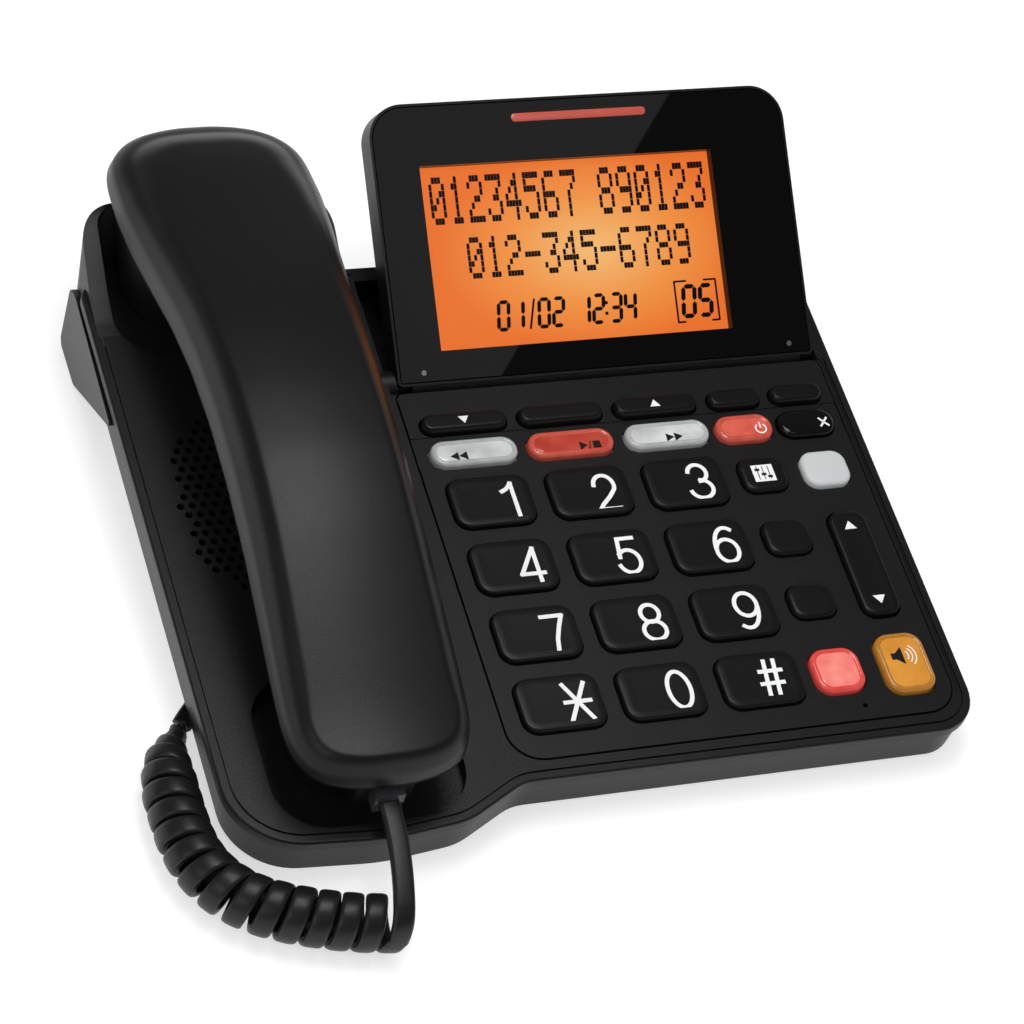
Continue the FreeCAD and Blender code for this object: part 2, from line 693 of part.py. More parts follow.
def desk_bracket(tub, hood, jacks):
    """Built in the row frame, fitted round the tub, the hood and the jacks."""
    body = side_prism(bracket_profile, -bracket_half_width, bracket_half_width)
    inside = [(y, z, r) for y, z, r in bracket_profile]
    hollow_wire = rounded_wire(inside, lambda p: Vector(0, p.x, p.y)).makeOffset2D(-bracket_wall)
    reach = bracket_half_width - bracket_wall
    hollow = Part.Face(hollow_wire).extrude(Vector(2 * reach, 0, 0))
    hollow.translate(Vector(-reach, 0, 0))
    raised = hollow.copy()
    raised.translate(Vector(0, 0, 2 * bracket_wall))
    left, right = bracket_window
    window = block(left, right, slot_y, big, 2 * bracket_wall, big)
    slots = []
    for x in (-slot_spacing / 2, slot_spacing / 2):
        half = slot_length / 2 - slot_half_width
        slots += [rod(x - half, slot_y, -5, 5, slot_half_width), rod(x + half, slot_y, -5, 5, slot_half_width),
                  block(x - half, x + half, slot_y - slot_half_width, slot_y + slot_half_width, -5, 5)]
    return body.cut([hollow, raised, window, tub, hood] + slots + jacks)


def rubber_feet(tub):
    x = deck_right - foot_inset_x
    front = [rod(s * x, front_foot_y, 0, 2 * foot_height + 2, foot_radius).cut(tub) for s in (-1, 1)]
    rear = [rod(s * x, rear_foot_y, 0, foot_height, foot_radius) for s in (-1, 1)]
    return Part.makeCompound(front + rear)


# ---- display

def display_wire():
    return flat_wire([(display_left, 0, display_foot_radius), (display_right, 0, display_foot_radius),
                      (display_right, display_height, display_top_radius),
                      (display_left, display_height, display_top_radius)])


def hinge_in_display():
    """The hinge axis as (y, z) in the display frame."""
    turn = math.radians(display_tilt)
    y, z = hinge_y - display_foot_y, hinge_z
    return (y * math.cos(turn) + z * math.sin(turn), -y * math.sin(turn) + z * math.cos(turn))


def stack_levels():
    """Depths of the backs of lens, bezel, panel and backlight."""
    lens_back = -lens_thickness
    bezel_back = lens_back - stack_gap - bezel_thickness
    panel_back = bezel_back - stack_gap - panel_thickness
    light_back = panel_back - stack_gap - backlight_thickness
    return lens_back, bezel_back, panel_back, light_back


def display_housing():
    outline = display_wire()
    body = prism(outline, -display_depth, 0)
    back = [e for e in body.Edges if abs(e.BoundBox.ZMax + display_depth) < 1e-6]
    body = body.makeFillet(display_edge_round, back)
    thin = display_foot_depth
    wedge = side_prism([(-5, -thin, 0.1), (0, -thin, 0.1), (display_wedge_top, -display_depth, 0.1),
                        (-5, -display_depth - 5, 0.1)], display_left - 5, display_right + 5)
    y, z = hinge_in_display()
    barrel = cross_rod(display_left + hinge_barrel_inset, display_right - hinge_barrel_inset, y, z,
                       hinge_barrel_radius)
    body = body.cut(wedge).fuse(barrel)
    light_back = stack_levels()[3]
    body = body.cut([prism(grown(outline, -display_lip), -lens_thickness, 5),
                     prism(grown(outline, -display_wall), stack_levels()[1], 5),
                     block(window_left - panel_border - 0.3, window_right + panel_border + 0.3,
                           window_low - panel_border - 0.3, window_high + panel_border + 0.3, light_back, 0),
                     block(light_left - 0.3, light_right + 0.3, light_low - 0.3, light_high + 0.3,
                           light_back, 0)])
    bore = hinge_pin_radius + hinge_running_gap
    bores = [cross_rod(display_left - 1, display_left + hinge_bore_depth, y, z, bore),
             cross_rod(display_right - hinge_bore_depth, display_right + 1, y, z, bore)]
    return body.cut(bores).removeSplitter()


def light_slot(extra):
    return [(light_left - extra, light_low - extra, 1.2), (light_right + extra, light_low - extra, 1.2),
            (light_right + extra, light_high + extra, 1.2), (light_left - extra, light_high + extra, 1.2)]


def dot_holes():
    return [rod(x, y, -10, 5, dot_radius) for x, y in dot_places]


def display_lens():
    plate = prism(grown(display_wire(), -display_lip - lens_gap), -lens_thickness, 0)
    return plate.cut([prism(flat_wire(light_slot(lens_gap)), -5, 5)] + dot_holes())


def display_bezel():
    lens_back, bezel_back, panel_back, light_back = stack_levels()
    plate = prism(grown(display_wire(), -display_wall - lens_gap), bezel_back, lens_back - stack_gap)
    window = block(window_left, window_right, window_low, window_high, -10, 0)
    return plate.cut([window, prism(flat_wire(light_slot(lens_gap)), -10, 5)] + dot_holes())


def lcd_panel():
    lens_back, bezel_back, panel_back, light_back = stack_levels()
    return block(window_left - panel_border, window_right + panel_border, window_low - panel_border,
                 window_high + panel_border, panel_back, bezel_back - stack_gap)


def backlight():
    lens_back, bezel_back, panel_back, light_back = stack_levels()
    return block(window_left - panel_border, window_right + panel_border, window_low - panel_border,
                 window_high + panel_border, light_back, panel_back - stack_gap)


def in_use_light():
    return prism(flat_wire(light_slot(0)), stack_levels()[3], 0)


def display_screws():
    return Part.makeCompound([rod(x, y, stack_levels()[1], 0, dot_radius) for x, y in dot_places])


def hinge_pins():
    y, z = hinge_y, hinge_z
    left = cross_rod(bay_left - bay_wall, display_left + hinge_bore_depth - 1, y, z, hinge_pin_radius)
    right = cross_rod(display_right - hinge_bore_depth + 1, bay_right + bay_right_wall, y, z, hinge_pin_radius)
    return Part.makeCompound([left, right])


# ---- handset

def shell_section(y, half_width, flat, peak):
    """Closed wire at y: a straight seam line and a rounded rise or drop to the peak height."""
    ease = 2 / shell_power
    points = []
    for i in range(section_points):
        turn = math.pi * i / (section_points - 1)
        side = math.copysign(abs(math.cos(turn)) ** ease, math.cos(turn))
        points.append(Vector(half_width * side, y, flat + (peak - flat) * math.sin(turn) ** ease))
    points[0] = Vector(half_width, y, flat)
    points[-1] = Vector(-half_width, y, flat)
    curve = Part.BSplineCurve()
    curve.interpolate(points)
    return Part.Wire([curve.toShape(), Part.LineSegment(points[-1], points[0]).toShape()])


def lofted(sections):
    return Part.makeLoft([shell_section(*s) for s in sections], True, True)


def at_station(y, column):
    """Value of a column of the outer stations at y, straight between stations."""
    for (ya, *a), (yb, *b) in zip(outer_stations, outer_stations[1:]):
        if yb <= y <= ya:
            return b[column] + (a[column] - b[column]) * (y - yb) / (ya - yb)
    raise ValueError(y)


def handset_outer_shell():
    outside = lofted(outer_stations)
    inside = lofted([(y, w - shell_wall, seam - 1.0, crown - shell_wall)
                     for y, w, seam, crown in outer_stations[1:-1]])
    return outside.cut(inside)


def inner_sections(wall):
    """The inner shell's sections, or its hollow's when wall is not 0."""
    rows = inner_stations[1:-1] if wall else inner_stations
    found = []
    for y, inset, low in rows:
        flat = at_station(y, 1) - seam_gap
        found.append((y, at_station(y, 0) - inset - wall, flat + (1.0 if wall else 0.0), low + wall))
    return found


def cup_solid(cup, wall):
    """Pad under one end of the handset, or its hollow when wall is not 0."""
    half, front, rear, front_radius, rear_radius, top = cup
    plan = flat_wire([(-half, front, front_radius), (half, front, front_radius),
                      (half, rear, rear_radius), (-half, rear, rear_radius)])
    body = prism(grown(plan, -wall) if wall else plan, cup_bottom + wall, top)
    start, end, height = ear_cup_slope
    if rear < end - 10:
        return body
    low = cup_bottom + wall
    return body.cut(side_prism([(start, low, 0.1), (start, low - 5, 0.1), (end, low - 5, 0.1),
                                (end, height + wall, 0.1)], -half - 1, half + 1))


def inner_body(wall):
    return lofted(inner_sections(wall)).fuse([cup_solid(ear_cup, wall), cup_solid(mouth_cup, wall)])


def ear_holes():
    places = [(0, 0)]
    for i in range(6):
        turn = math.radians(60 * i)
        places.append((ear_hole_ring * math.cos(turn), ear_hole_ring * math.sin(turn)))
    return [rod(dx, receiver_y + dy, cup_bottom - 5, 0, ear_hole_radius) for dx, dy in places]


def handset_inner_shell():
    width, length, height = plug_size
    body = inner_body(0).cut(inner_body(shell_wall))
    rear = handset_plug_front + length + shell_wall
    middle = handset_plug_z
    seat = block(-width, width, handset_seat_front, rear, middle - height / 2 - shell_wall,
                 middle + height / 2 + 1.0)
    mic_hole = rod(0, mouth_mic_y, cup_bottom - 5, 0, ear_hole_radius)
    top = cup_floor() + receiver_lift
    ring = rod(0, receiver_y, cup_bottom, top, receiver_radius)
    ring = ring.cut(rod(0, receiver_y, cup_bottom - 1, top + 1, receiver_radius - receiver_ring))
    shell = body.fuse([seat, ring.common(cup_solid(ear_cup, 0))])
    return shell.cut(ear_holes() + [mic_hole, plug_room(handset_plug())]).removeSplitter()


def cup_floor():
    return cup_bottom + shell_wall


def receiver():
    low = cup_floor() + receiver_lift
    can = rod(0, receiver_y, low, low + receiver_height, receiver_radius)
    room = rod(0, receiver_y, low + receiver_ring, low + 2 * receiver_height, receiver_radius - receiver_ring)
    return can.cut(room)


def handset_microphone():
    return rod(0, mouth_mic_y, cup_floor(), cup_floor() + mouth_mic_height, mouth_mic_radius)


# ---- cord

def cord_path(points, name):
    """Straight runs joined by tangent arcs; each arc's radius is 0.45 of the shorter run by the turn."""
    edges = []
    last = points[0]
    for before, here, after in zip(points, points[1:], points[2:]):
        way_in = (here - before).normalize()
        way_out = (after - here).normalize()
        half_turn = way_in.getAngle(way_out) / 2
        reach = 0.45 * min((here - before).Length, (after - here).Length)
        radius = reach / math.tan(half_turn)
        print(f"{name}: arc radius {radius:.1f}")
        start = here - way_in * reach
        end = here + way_out * reach
        inward = (way_out - way_in).normalize()
        middle = here + inward * (radius / math.cos(half_turn) - radius)
        edges.append(Part.LineSegment(last, start).toShape())
        edges.append(Part.Arc(start, middle, end).toShape())
        last = end
    edges.append(Part.LineSegment(last, points[-1]).toShape())
    return Part.Wire(edges)


def tube(path, radius, name):
    start = path.Edges[0].Vertexes[0].Point
    way = path.Edges[0].tangentAt(path.Edges[0].FirstParameter)
    section = Part.Wire([Part.makeCircle(radius, start, way)])
    shape = path.makePipeShell([section], True, False)
    expected = math.pi * radius ** 2 * path.Length
    print(f"{name}: length {path.Length:.1f}, volume {shape.Volume:.1f} against {expected:.1f}")
    return shape


def cord_parts():
    plug_mouth = handset_frame.multVec(Vector(0, handset_plug_front - cord_end_gap, handset_plug_z))
    jack_mouth = deck_frame.multVec(Vector((channel_left + channel_right) / 2, base_plug_front - cord_end_gap,
                                           base_plug_z))
    lead_points = [plug_mouth] + [Vector(*p) for p in lead_route]
    coil_points = [Vector(*p) for p in coil_route]
    tail_points = [Vector(*taper_route[-1][0])] + [Vector(*p) for p in tail_route] + [jack_mouth]
    lead = tube(cord_path(lead_points, "lead"), lead_radius, "lead")
    coil = tube(cord_path(coil_points, "coil"), coil_radius, "coil")
    tail = tube(cord_path(tail_points, "tail"), lead_radius, "tail")
    rings = []
    last, before = coil_points[-1], coil_points[-2]
    for middle, radius in [(last, coil_radius)] + [(Vector(*p), r) for p, r in taper_route]:
        rings.append(Part.Wire([Part.makeCircle(radius, middle, (middle - before).normalize())]))
        before = middle
    coil = coil.fuse(Part.makeLoft(rings, True, True)).removeSplitter()
    return {"handset_cord_lead": lead.cut(coil), "handset_cord_coil": coil, "handset_cord_tail": tail.cut(coil)}


# ---- assembly

def all_parts():
    deck = {
        "base_top_housing": top_housing(),
        "base_bottom_housing": bottom_housing(),
        "keypad_faceplate": faceplate(),
        "keypad_mat": keypad_mat(),
        "main_circuit_board": main_board(),
        "base_speaker": loudspeaker(),
        "base_microphone": base_microphone(),
        "handset_jack": handset_jack(),
        "line_jack": line_jack(),
        "power_jack": power_jack(),
        "base_screws": base_screws(),
        "hinge_pins": hinge_pins(),
        "hook_plunger": hook_plunger(),
        "base_cord_plug": base_plug(),
    }
    for name, x, y, width, height, radius, rise in key_list():
        deck[name] = key_solid(x, y, width, height, radius, rise)
    deck[rocker[0]] = rocker_solid(*rocker[1:])
    display = {
        "display_rear_housing": display_housing(),
        "display_bezel": display_bezel(),
        "display_lens": display_lens(),
        "lcd_panel": lcd_panel(),
        "lcd_backlight": backlight(),
        "in_use_light": in_use_light(),
        "display_screws": display_screws(),
    }
    handset = {
        "handset_outer_shell": handset_outer_shell(),
        "handset_inner_shell": handset_inner_shell(),
        "handset_receiver": receiver(),
        "handset_microphone": handset_microphone(),
        "handset_cord_plug": handset_plug(),
    }
    parts = {name: in_frame(shape, deck_frame) for name, shape in deck.items()}
    parts.update({name: in_frame(shape, handset_frame) for name, shape in handset.items()})
    parts.update({name: in_frame(shape, display_frame) for name, shape in display.items()})
    tub = in_frame(tub_envelope(), deck_frame)
    hood = in_frame(hood_envelope(), deck_frame)
    jacks = [in_frame(shape, deck_frame) for shape in jack_blocks()]
    parts["desk_bracket"] = desk_bracket(tub, hood, jacks)
    parts["rubber_feet"] = rubber_feet(tub)
    return parts


def main():
    os.makedirs("parts", exist_ok=True)
    parts = all_parts()
    own = [s for n, s in parts.items() if n not in ("handset_cord_plug", "base_cord_plug")]
    box = Part.makeCompound(own).optimalBoundingBox(False)
    centre = Vector(-(box.XMin + box.XMax) / 2, -(box.YMin + box.YMax) / 2, -box.ZMin)
    parts.update(cord_parts())
    for name, shape in sorted(parts.items()):
        placed = shape.copy()
        placed.translate(centre)
        placed.exportStep(f"parts/{name}.step")
        state = "valid" if placed.isValid() else "NOT VALID"
        print(f"{name}: {len(placed.Solids)} solid, volume {placed.Volume:.1f}, {state}")
    print(f"box x {box.XMin:.2f} {box.XMax:.2f} y {box.YMin:.2f} {box.YMax:.2f}")
    print(f"box z {box.ZMin:.2f} {box.ZMax:.2f}")
    print(f"centre {centre.x:.4f} {centre.y:.4f} {centre.z:.4f}")


main()
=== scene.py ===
import bmesh
import bpy
import math
import numpy as np
from mathutils import Matrix
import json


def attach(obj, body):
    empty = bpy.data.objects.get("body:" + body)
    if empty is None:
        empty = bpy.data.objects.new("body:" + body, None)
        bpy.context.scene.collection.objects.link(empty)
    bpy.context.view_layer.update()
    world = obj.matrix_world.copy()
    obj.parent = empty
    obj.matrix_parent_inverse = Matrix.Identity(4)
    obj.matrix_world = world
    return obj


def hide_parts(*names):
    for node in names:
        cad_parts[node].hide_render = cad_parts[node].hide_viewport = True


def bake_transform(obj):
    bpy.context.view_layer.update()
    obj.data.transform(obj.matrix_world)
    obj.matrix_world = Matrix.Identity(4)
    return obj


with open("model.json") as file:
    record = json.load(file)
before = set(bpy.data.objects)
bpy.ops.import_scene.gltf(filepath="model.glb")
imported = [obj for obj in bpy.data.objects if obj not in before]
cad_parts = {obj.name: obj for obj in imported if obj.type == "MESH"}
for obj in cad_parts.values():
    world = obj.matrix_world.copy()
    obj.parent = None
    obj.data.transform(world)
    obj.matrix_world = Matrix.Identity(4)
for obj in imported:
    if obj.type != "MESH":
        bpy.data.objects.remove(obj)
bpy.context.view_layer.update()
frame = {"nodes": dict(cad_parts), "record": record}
print("frame loaded")

# Lengths are millimetres in the deck's, display's, handset's or row's own frame until place() makes them
# metres in the world.
stance = {"centre": (-0.05, -98.4833), "deckLift": 15.2, "deckTilt": 5, "displayFoot": 128, "displayTilt": 31,
          "handsetX": -65.3, "handsetPivot": 100, "handsetTurn": 0.45}


def turned(axis, degrees, shift):
    # 4 by 4 matrix: a turn about one axis, then a shift
    angle = math.radians(degrees)
    i, j = [(1, 2), (2, 0), (0, 1)]["xyz".index(axis)]
    matrix = np.eye(4)
    matrix[i, i] = matrix[j, j] = math.cos(angle)
    matrix[j, i] = math.sin(angle)
    matrix[i, j] = -math.sin(angle)
    matrix[:3, 3] = shift
    return matrix


rowFrame = turned("z", 0.0, (*stance["centre"], 0.0))
deckFrame = rowFrame @ turned("x", stance["deckTilt"], (0, 0, stance["deckLift"]))
displayFrame = deckFrame @ turned("x", stance["displayTilt"], (0, stance["displayFoot"], 0))
handsetFrame = deckFrame @ turned("z", stance["handsetTurn"], (stance["handsetX"], stance["handsetPivot"], 0))
handsetFrame = handsetFrame @ turned("z", 0.0, (0, -stance["handsetPivot"], 0))


def place(points, where):
    points = np.asarray(points, float)
    return (points @ where[:3, :3].T + where[:3, 3]) / 1000


# camera
camera = {"focal": 3486.0, "frameSize": 1024, "sensor": 36.0, "nearest": 0.01, "target": (11.35, 52.2, 0.0),
          "targetPixel": (600.0, 600.0), "distance": 920.0,
          # the camera's axes in the deck's frame
          "right": (0.93674939, -0.27209465, 0.22014784), "down": (-0.09028466, -0.79555872, -0.59911184),
          "ahead": (0.33815566, 0.54134168, -0.76980512)}


def addObject(name, data):
    made = bpy.data.objects.new(name, data)
    bpy.context.scene.collection.objects.link(made)
    return made


def addCamera(c):
    axes = np.array([c["right"], c["down"], c["ahead"]])
    ray = np.append((np.array(c["targetPixel"]) - c["frameSize"] / 2) / c["focal"], 1.0)
    eye = np.array(c["target"]) - axes.T @ ray * c["distance"]
    lens = bpy.data.cameras.new("camera")
    lens.sensor_width = c["sensor"]
    lens.lens = c["focal"] * c["sensor"] / c["frameSize"]
    lens.clip_start = c["nearest"]
    holder = addObject("camera", lens)
    turn = deckFrame[:3, :3] @ np.column_stack([axes[0], -axes[1], -axes[2]])
    matrix = np.eye(4)
    matrix[:3, :3] = turn
    matrix[:3, 3] = place(eye, deckFrame)
    holder.matrix_world = Matrix(matrix.tolist())
    bpy.context.scene.camera = holder


addCamera(camera)
print("camera set")


# colours and nodes
def linear(code):
    # sRGB hex to linear RGBA.
    values = [int(code[i:i + 2], 16) / 255 for i in (1, 3, 5)]
    return tuple(v / 12.92 if v <= 0.04045 else ((v + 0.055) / 1.055) ** 2.4 for v in values) + (1.0,)


def addNode(tree, kind, settings={}, links={}):
    # the kind goes without ShaderNode before it; a link is a socket, or a node that stands for its first output
    made = tree.nodes.new("ShaderNode" + kind)
    for name, value in settings.items():
        if isinstance(name, str) and hasattr(made, name):
            setattr(made, name, value)
        else:
            made.inputs[name].default_value = value
    for name, source in links.items():
        tree.links.new(getattr(source, "outputs", [source])[0], made.inputs[name])
    return made


def newMaterial(name):
    made = bpy.data.materials.new(name)
    made.use_nodes = True
    made.node_tree.nodes.clear()
    return made, made.node_tree


def addOutput(tree, shader, kind="OutputMaterial"):
    addNode(tree, kind, {}, {"Surface": shader})


# what all moulded surfaces share, and what stands in where a finish says nothing
mouldedBase = {"grainDetail": 3.0, "grainRoughness": 0.6, "cloudDetail": 2.0, "grainRange": (0.3, 0.7),
               "coatRoughness": 0.06, "ior": 1.5, "specular": 0.5, "metallic": 0.0, "coat": 0.0, "alpha": 1.0,
               "glow": 0.0, "glowColour": "#ffffff"}


def moulded(name, f):
    # Moulded or turned surface: two close tints in soft clouds, fine grain in bump and roughness, and a faint
    # painted glow where a finish asks for one.
    f = {**mouldedBase, **f}
    made, tree = newMaterial(name)
    place3d = addNode(tree, "TexCoord").outputs["Object"]
    grain = addNode(tree, "TexNoise", {"Scale": 1000 / f["grain"], "Detail": f["grainDetail"],
                                                 "Roughness": f["grainRoughness"]}, {"Vector": place3d})
    cloud = addNode(tree, "TexNoise", {"Scale": 1000 / f["cloud"], "Detail": f["cloudDetail"]},
                    {"Vector": place3d})
    dark, light = f["colours"]
    tint = addNode(tree, "Mix", {"data_type": "RGBA", 6: linear(dark), 7: linear(light)},
                   {0: cloud})
    low, high = f["grainRange"]
    rough = addNode(tree, "MapRange", {"From Min": low, "From Max": high, "To Min": f["rough"][0],
                                                 "To Max": f["rough"][1]}, {"Value": grain})
    bump = addNode(tree, "Bump", {"Strength": f["bump"], "Distance": f["grain"] / 2000}, {"Height": grain})
    shader = addNode(tree, "BsdfPrincipled",
                     {"IOR": f["ior"], "Specular IOR Level": f["specular"], "Metallic": f["metallic"],
                      "Coat Weight": f["coat"], "Coat Roughness": f["coatRoughness"], "Alpha": f["alpha"],
                      "Emission Strength": f["glow"], "Emission Color": linear(f["glowColour"])},
                     {"Base Color": tint.outputs[2], "Roughness": rough, "Normal": bump})
    addOutput(tree, shader)
    return made


def look(dark, light, grain, cloud, rough, bump, **more):
    # dark and light tint, mm between bumps and between tints, roughness from and to, strength of the bumps
    return {"colours": (dark, light), "grain": grain, "cloud": cloud, "rough": rough, "bump": bump, **more}


def clearLook(dark, light, cloud, rough=(0.08, 0.12), glow=0.0, glowColour="#ffffff"):
    # a clear key cap, or the coloured or silver layer under one; its glow is a painted glow for light shining
    # through the clear plastic
    return look(dark, light, 2.0, cloud, rough, 0.02, coat=0.3, glow=glow, glowColour=glowColour)


finishes = {
    # ABS, injection moulded in a fine spark-eroded tool: a satin black with a pin-point grain
    "mouldedAbs": look("#0e0e0f", "#121213", 0.45, 40, (0.36, 0.46), 0.30, specular=0.30),
    "handsetAbs": look("#0c0c0d", "#101011", 0.40, 50, (0.34, 0.42), 0.18, specular=0.28),
    "keyAbs": look("#0a0a0b", "#0e0e0f", 0.35, 12, (0.30, 0.38), 0.12, specular=0.26),
    # ABS from a polished tool: wet-looking black
    "polishedAbs": look("#060607", "#09090a", 3.0, 15, (0.08, 0.14), 0.02, specular=0.35),
    "keyWhite": look("#bdbfc0", "#c9cbcc", 0.5, 9, (0.30, 0.38), 0.05, specular=0.3),
    # acrylic sheet printed black from behind
    "printedAcrylic": look("#040405", "#060607", 8.0, 60, (0.01, 0.02), 0.0, ior=1.49, specular=0.22),
    # clear acrylic window
    "clearAcrylic": look("#0a0a0b", "#101011", 8.0, 60, (0.01, 0.02), 0.0, ior=1.49, alpha=0.08, specular=0.30),
    # the layers under the clear key caps, and the caps' own rims; the red, coral, pink and amber ones have a faint
    # painted glow for light shining through the clear plastic
    "clearRed": clearLook("#8e1e16", "#c65240", 7, (0.10, 0.16), 0.05, "#e02a20"),
    "clearCoral": clearLook("#b42e1e", "#ee7e6a", 7, (0.10, 0.16), 0.05, "#e84a3c"),
    "clearRedRim": clearLook("#a8382a", "#cc5f4e", 3, glow=0.05, glowColour="#f06a58"),
    "clearSilver": clearLook("#989a9b", "#eceeef", 7, (0.10, 0.16)),
    "clearSilverRim": clearLook("#9c9e9f", "#bcbebf", 4, (0.06, 0.10)),
    "clearPink": clearLook("#e0423e", "#f8a698", 6, glow=0.08, glowColour="#f08080"),
    "clearPinkRim": clearLook("#cc3834", "#e45850", 4, glow=0.05, glowColour="#e04040"),
    "clearAmber": clearLook("#b87018", "#e4a046", 8, glow=0.06, glowColour="#f0a020"),
    "clearAmberRim": clearLook("#96601c", "#bd8232", 4, glow=0.04, glowColour="#e09020"),
    # the in-use bar's red plastic, with a faint painted glow for light shining through it
    "lightBar": look("#a84438", "#b85446", 1.2, 14, (0.20, 0.28), 0.03, coat=0.3, glow=0.08, glowColour="#e05040"),
    # pad-printed ink
    "whiteInk": look("#e8e9ea", "#f0f1f2", 0.3, 5, (0.42, 0.52), 0.04, specular=0.2),
    "blackInk": look("#121213", "#1a1a1b", 0.3, 5, (0.42, 0.52), 0.04, specular=0.2),
    "segmentBlack": look("#0c0502", "#140903", 0.5, 9, (0.30, 0.40), 0.02, specular=0.1),
    # soft vinyl over flat wire
    "cordVinyl": look("#111112", "#19191a", 0.8, 10, (0.34, 0.44), 0.08, specular=0.34),
    "plugClear": look("#3a3b3d", "#4a4b4d", 1.5, 5, (0.08, 0.14), 0.02, alpha=0.6, ior=1.58, specular=0.4),
    "footRubber": look("#101010", "#161616", 0.6, 6, (0.70, 0.82), 0.30, specular=0.2),
    "siliconeGrey": look("#5c5d5e", "#686969", 0.8, 20, (0.55, 0.65), 0.1),
    "boardGreen": look("#0c4a22", "#13602e", 1.2, 8, (0.35, 0.45), 0.05),
    "backlightWhite": look("#e6e2da", "#f0ece4", 2.0, 30, (0.4, 0.5), 0.02),
    # zinc-plated steel
    "platedSteel": look("#8d8f92", "#a2a4a6", 0.4, 5, (0.28, 0.40), 0.08, metallic=1.0),
    "paintedSteel": look("#1c1d20", "#242528", 0.5, 9, (0.4, 0.5), 0.1, specular=0.2),
}
materials = {name: moulded(name, finish) for name, finish in finishes.items()}
print("materials made")


# meshes
def addMesh(name, points, faces, finish, body, smooth=True, crease=35.0):
    # A mesh object from world points in metres, which rides a body where one is given.
    mesh = bpy.data.meshes.new(name)
    mesh.from_pydata(points.reshape(-1, 3).tolist(), [], faces)
    mesh.update()
    mesh.polygons.foreach_set("use_smooth", np.full(len(mesh.polygons), smooth))
    if smooth:
        mesh.set_sharp_from_angle(angle=math.radians(crease))
    made = addObject(name, mesh)
    mesh.materials.append(materials[finish])
    if body:
        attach(made, body)
    return made


def facesOut(made, merge=0.0):
    # merges doubled points first, where a distance is given
    work = bmesh.new()
    work.from_mesh(made.data)
    if merge:
        bmesh.ops.remove_doubles(work, verts=work.verts, dist=merge)
    bmesh.ops.recalc_face_normals(work, faces=work.faces)
    work.to_mesh(made.data)
    work.free()


def gridFaces(rows, columns, closed, looped=False):
    # Quads between neighbouring rows. Closed joins the last column to the first, and looped the last row.
    row = np.arange(rows if looped else rows - 1)[:, None] * columns
    column = np.arange(columns if closed else columns - 1)[None, :]
    after, above = (column + 1) % columns, (row + columns) % (rows * columns)
    quads = np.stack([row + column, row + after, above + after, above + column], axis=-1)
    return quads.reshape(-1, 4).tolist()


def cappedFaces(rows, columns):
    # A closed skin: quads between rings that run anticlockwise from bottom to top, and a face at each end.
    faces = gridFaces(rows, columns, True)
    return faces + [list(range(columns))[::-1], list(range((rows - 1) * columns, rows * columns))]


def roundedRect(x, y, width, height, radius, steps=10):
    # Anticlockwise outline from the lower right corner on, each corner an arc with its own or the shared radius.
    radius = np.clip(np.broadcast_to(radius, 4), 1e-3, min(width, height) / 2 - 1e-3)[:, None]
    turn = np.radians(np.linspace(0, 90, steps)[None, :] + np.array([[-90], [0], [90], [180]]))
    signs = np.array([[1, -1], [1, 1], [-1, 1], [-1, -1]])
    centre = signs * (np.array([width, height]) / 2 - radius)
    ring = centre[:, None, :] + radius[..., None] * np.stack([np.cos(turn), np.sin(turn)], axis=-1)
    return ring.reshape(-1, 2) + (x, y)


def raised(outline, level):
    return np.column_stack([outline, np.full(len(outline), level)])


def stackedRects(x, y, width, height, radius, rows):
    # Rounded rectangles from bottom to top, one for each inset and height in rows.
    return np.array([raised(roundedRect(x, y, width - 2 * inset, height - 2 * inset, radius - inset), level)
                     for inset, level in rows])


def addSkin(name, rings, where, finish, body, **options):
    return addMesh(name, place(rings, where), cappedFaces(*rings.shape[:2]), finish, body, **options)


def lengths(points):
    # how far along the line each point lies
    return np.concatenate([[0], np.cumsum(np.linalg.norm(np.diff(points, axis=0), axis=1))])


def resampled(points, along, at):
    return np.stack([np.interp(at, along, points[:, i]) for i in range(points.shape[1])], axis=1)


def blended(points, width, closed=True, step=0.5):
    # Points resampled evenly along a line and blurred by a bell curve of that width, all in mm.
    points = np.asarray(points, float)
    if closed:
        points = np.vstack([points, points[:1]])
    along = lengths(points)
    even = resampled(points, along, np.linspace(0, along[-1], int(along[-1] / step), endpoint=not closed))
    reach = int(3 * width / step)
    bell = np.exp(-0.5 * (np.arange(-reach, reach + 1) * step / width) ** 2)
    bell /= bell.sum()
    wide = np.pad(even, ((reach, reach), (0, 0)), mode="wrap" if closed else "reflect")
    return np.stack([np.convolve(wide[:, i], bell, mode="valid") for i in range(points.shape[1])], axis=1)


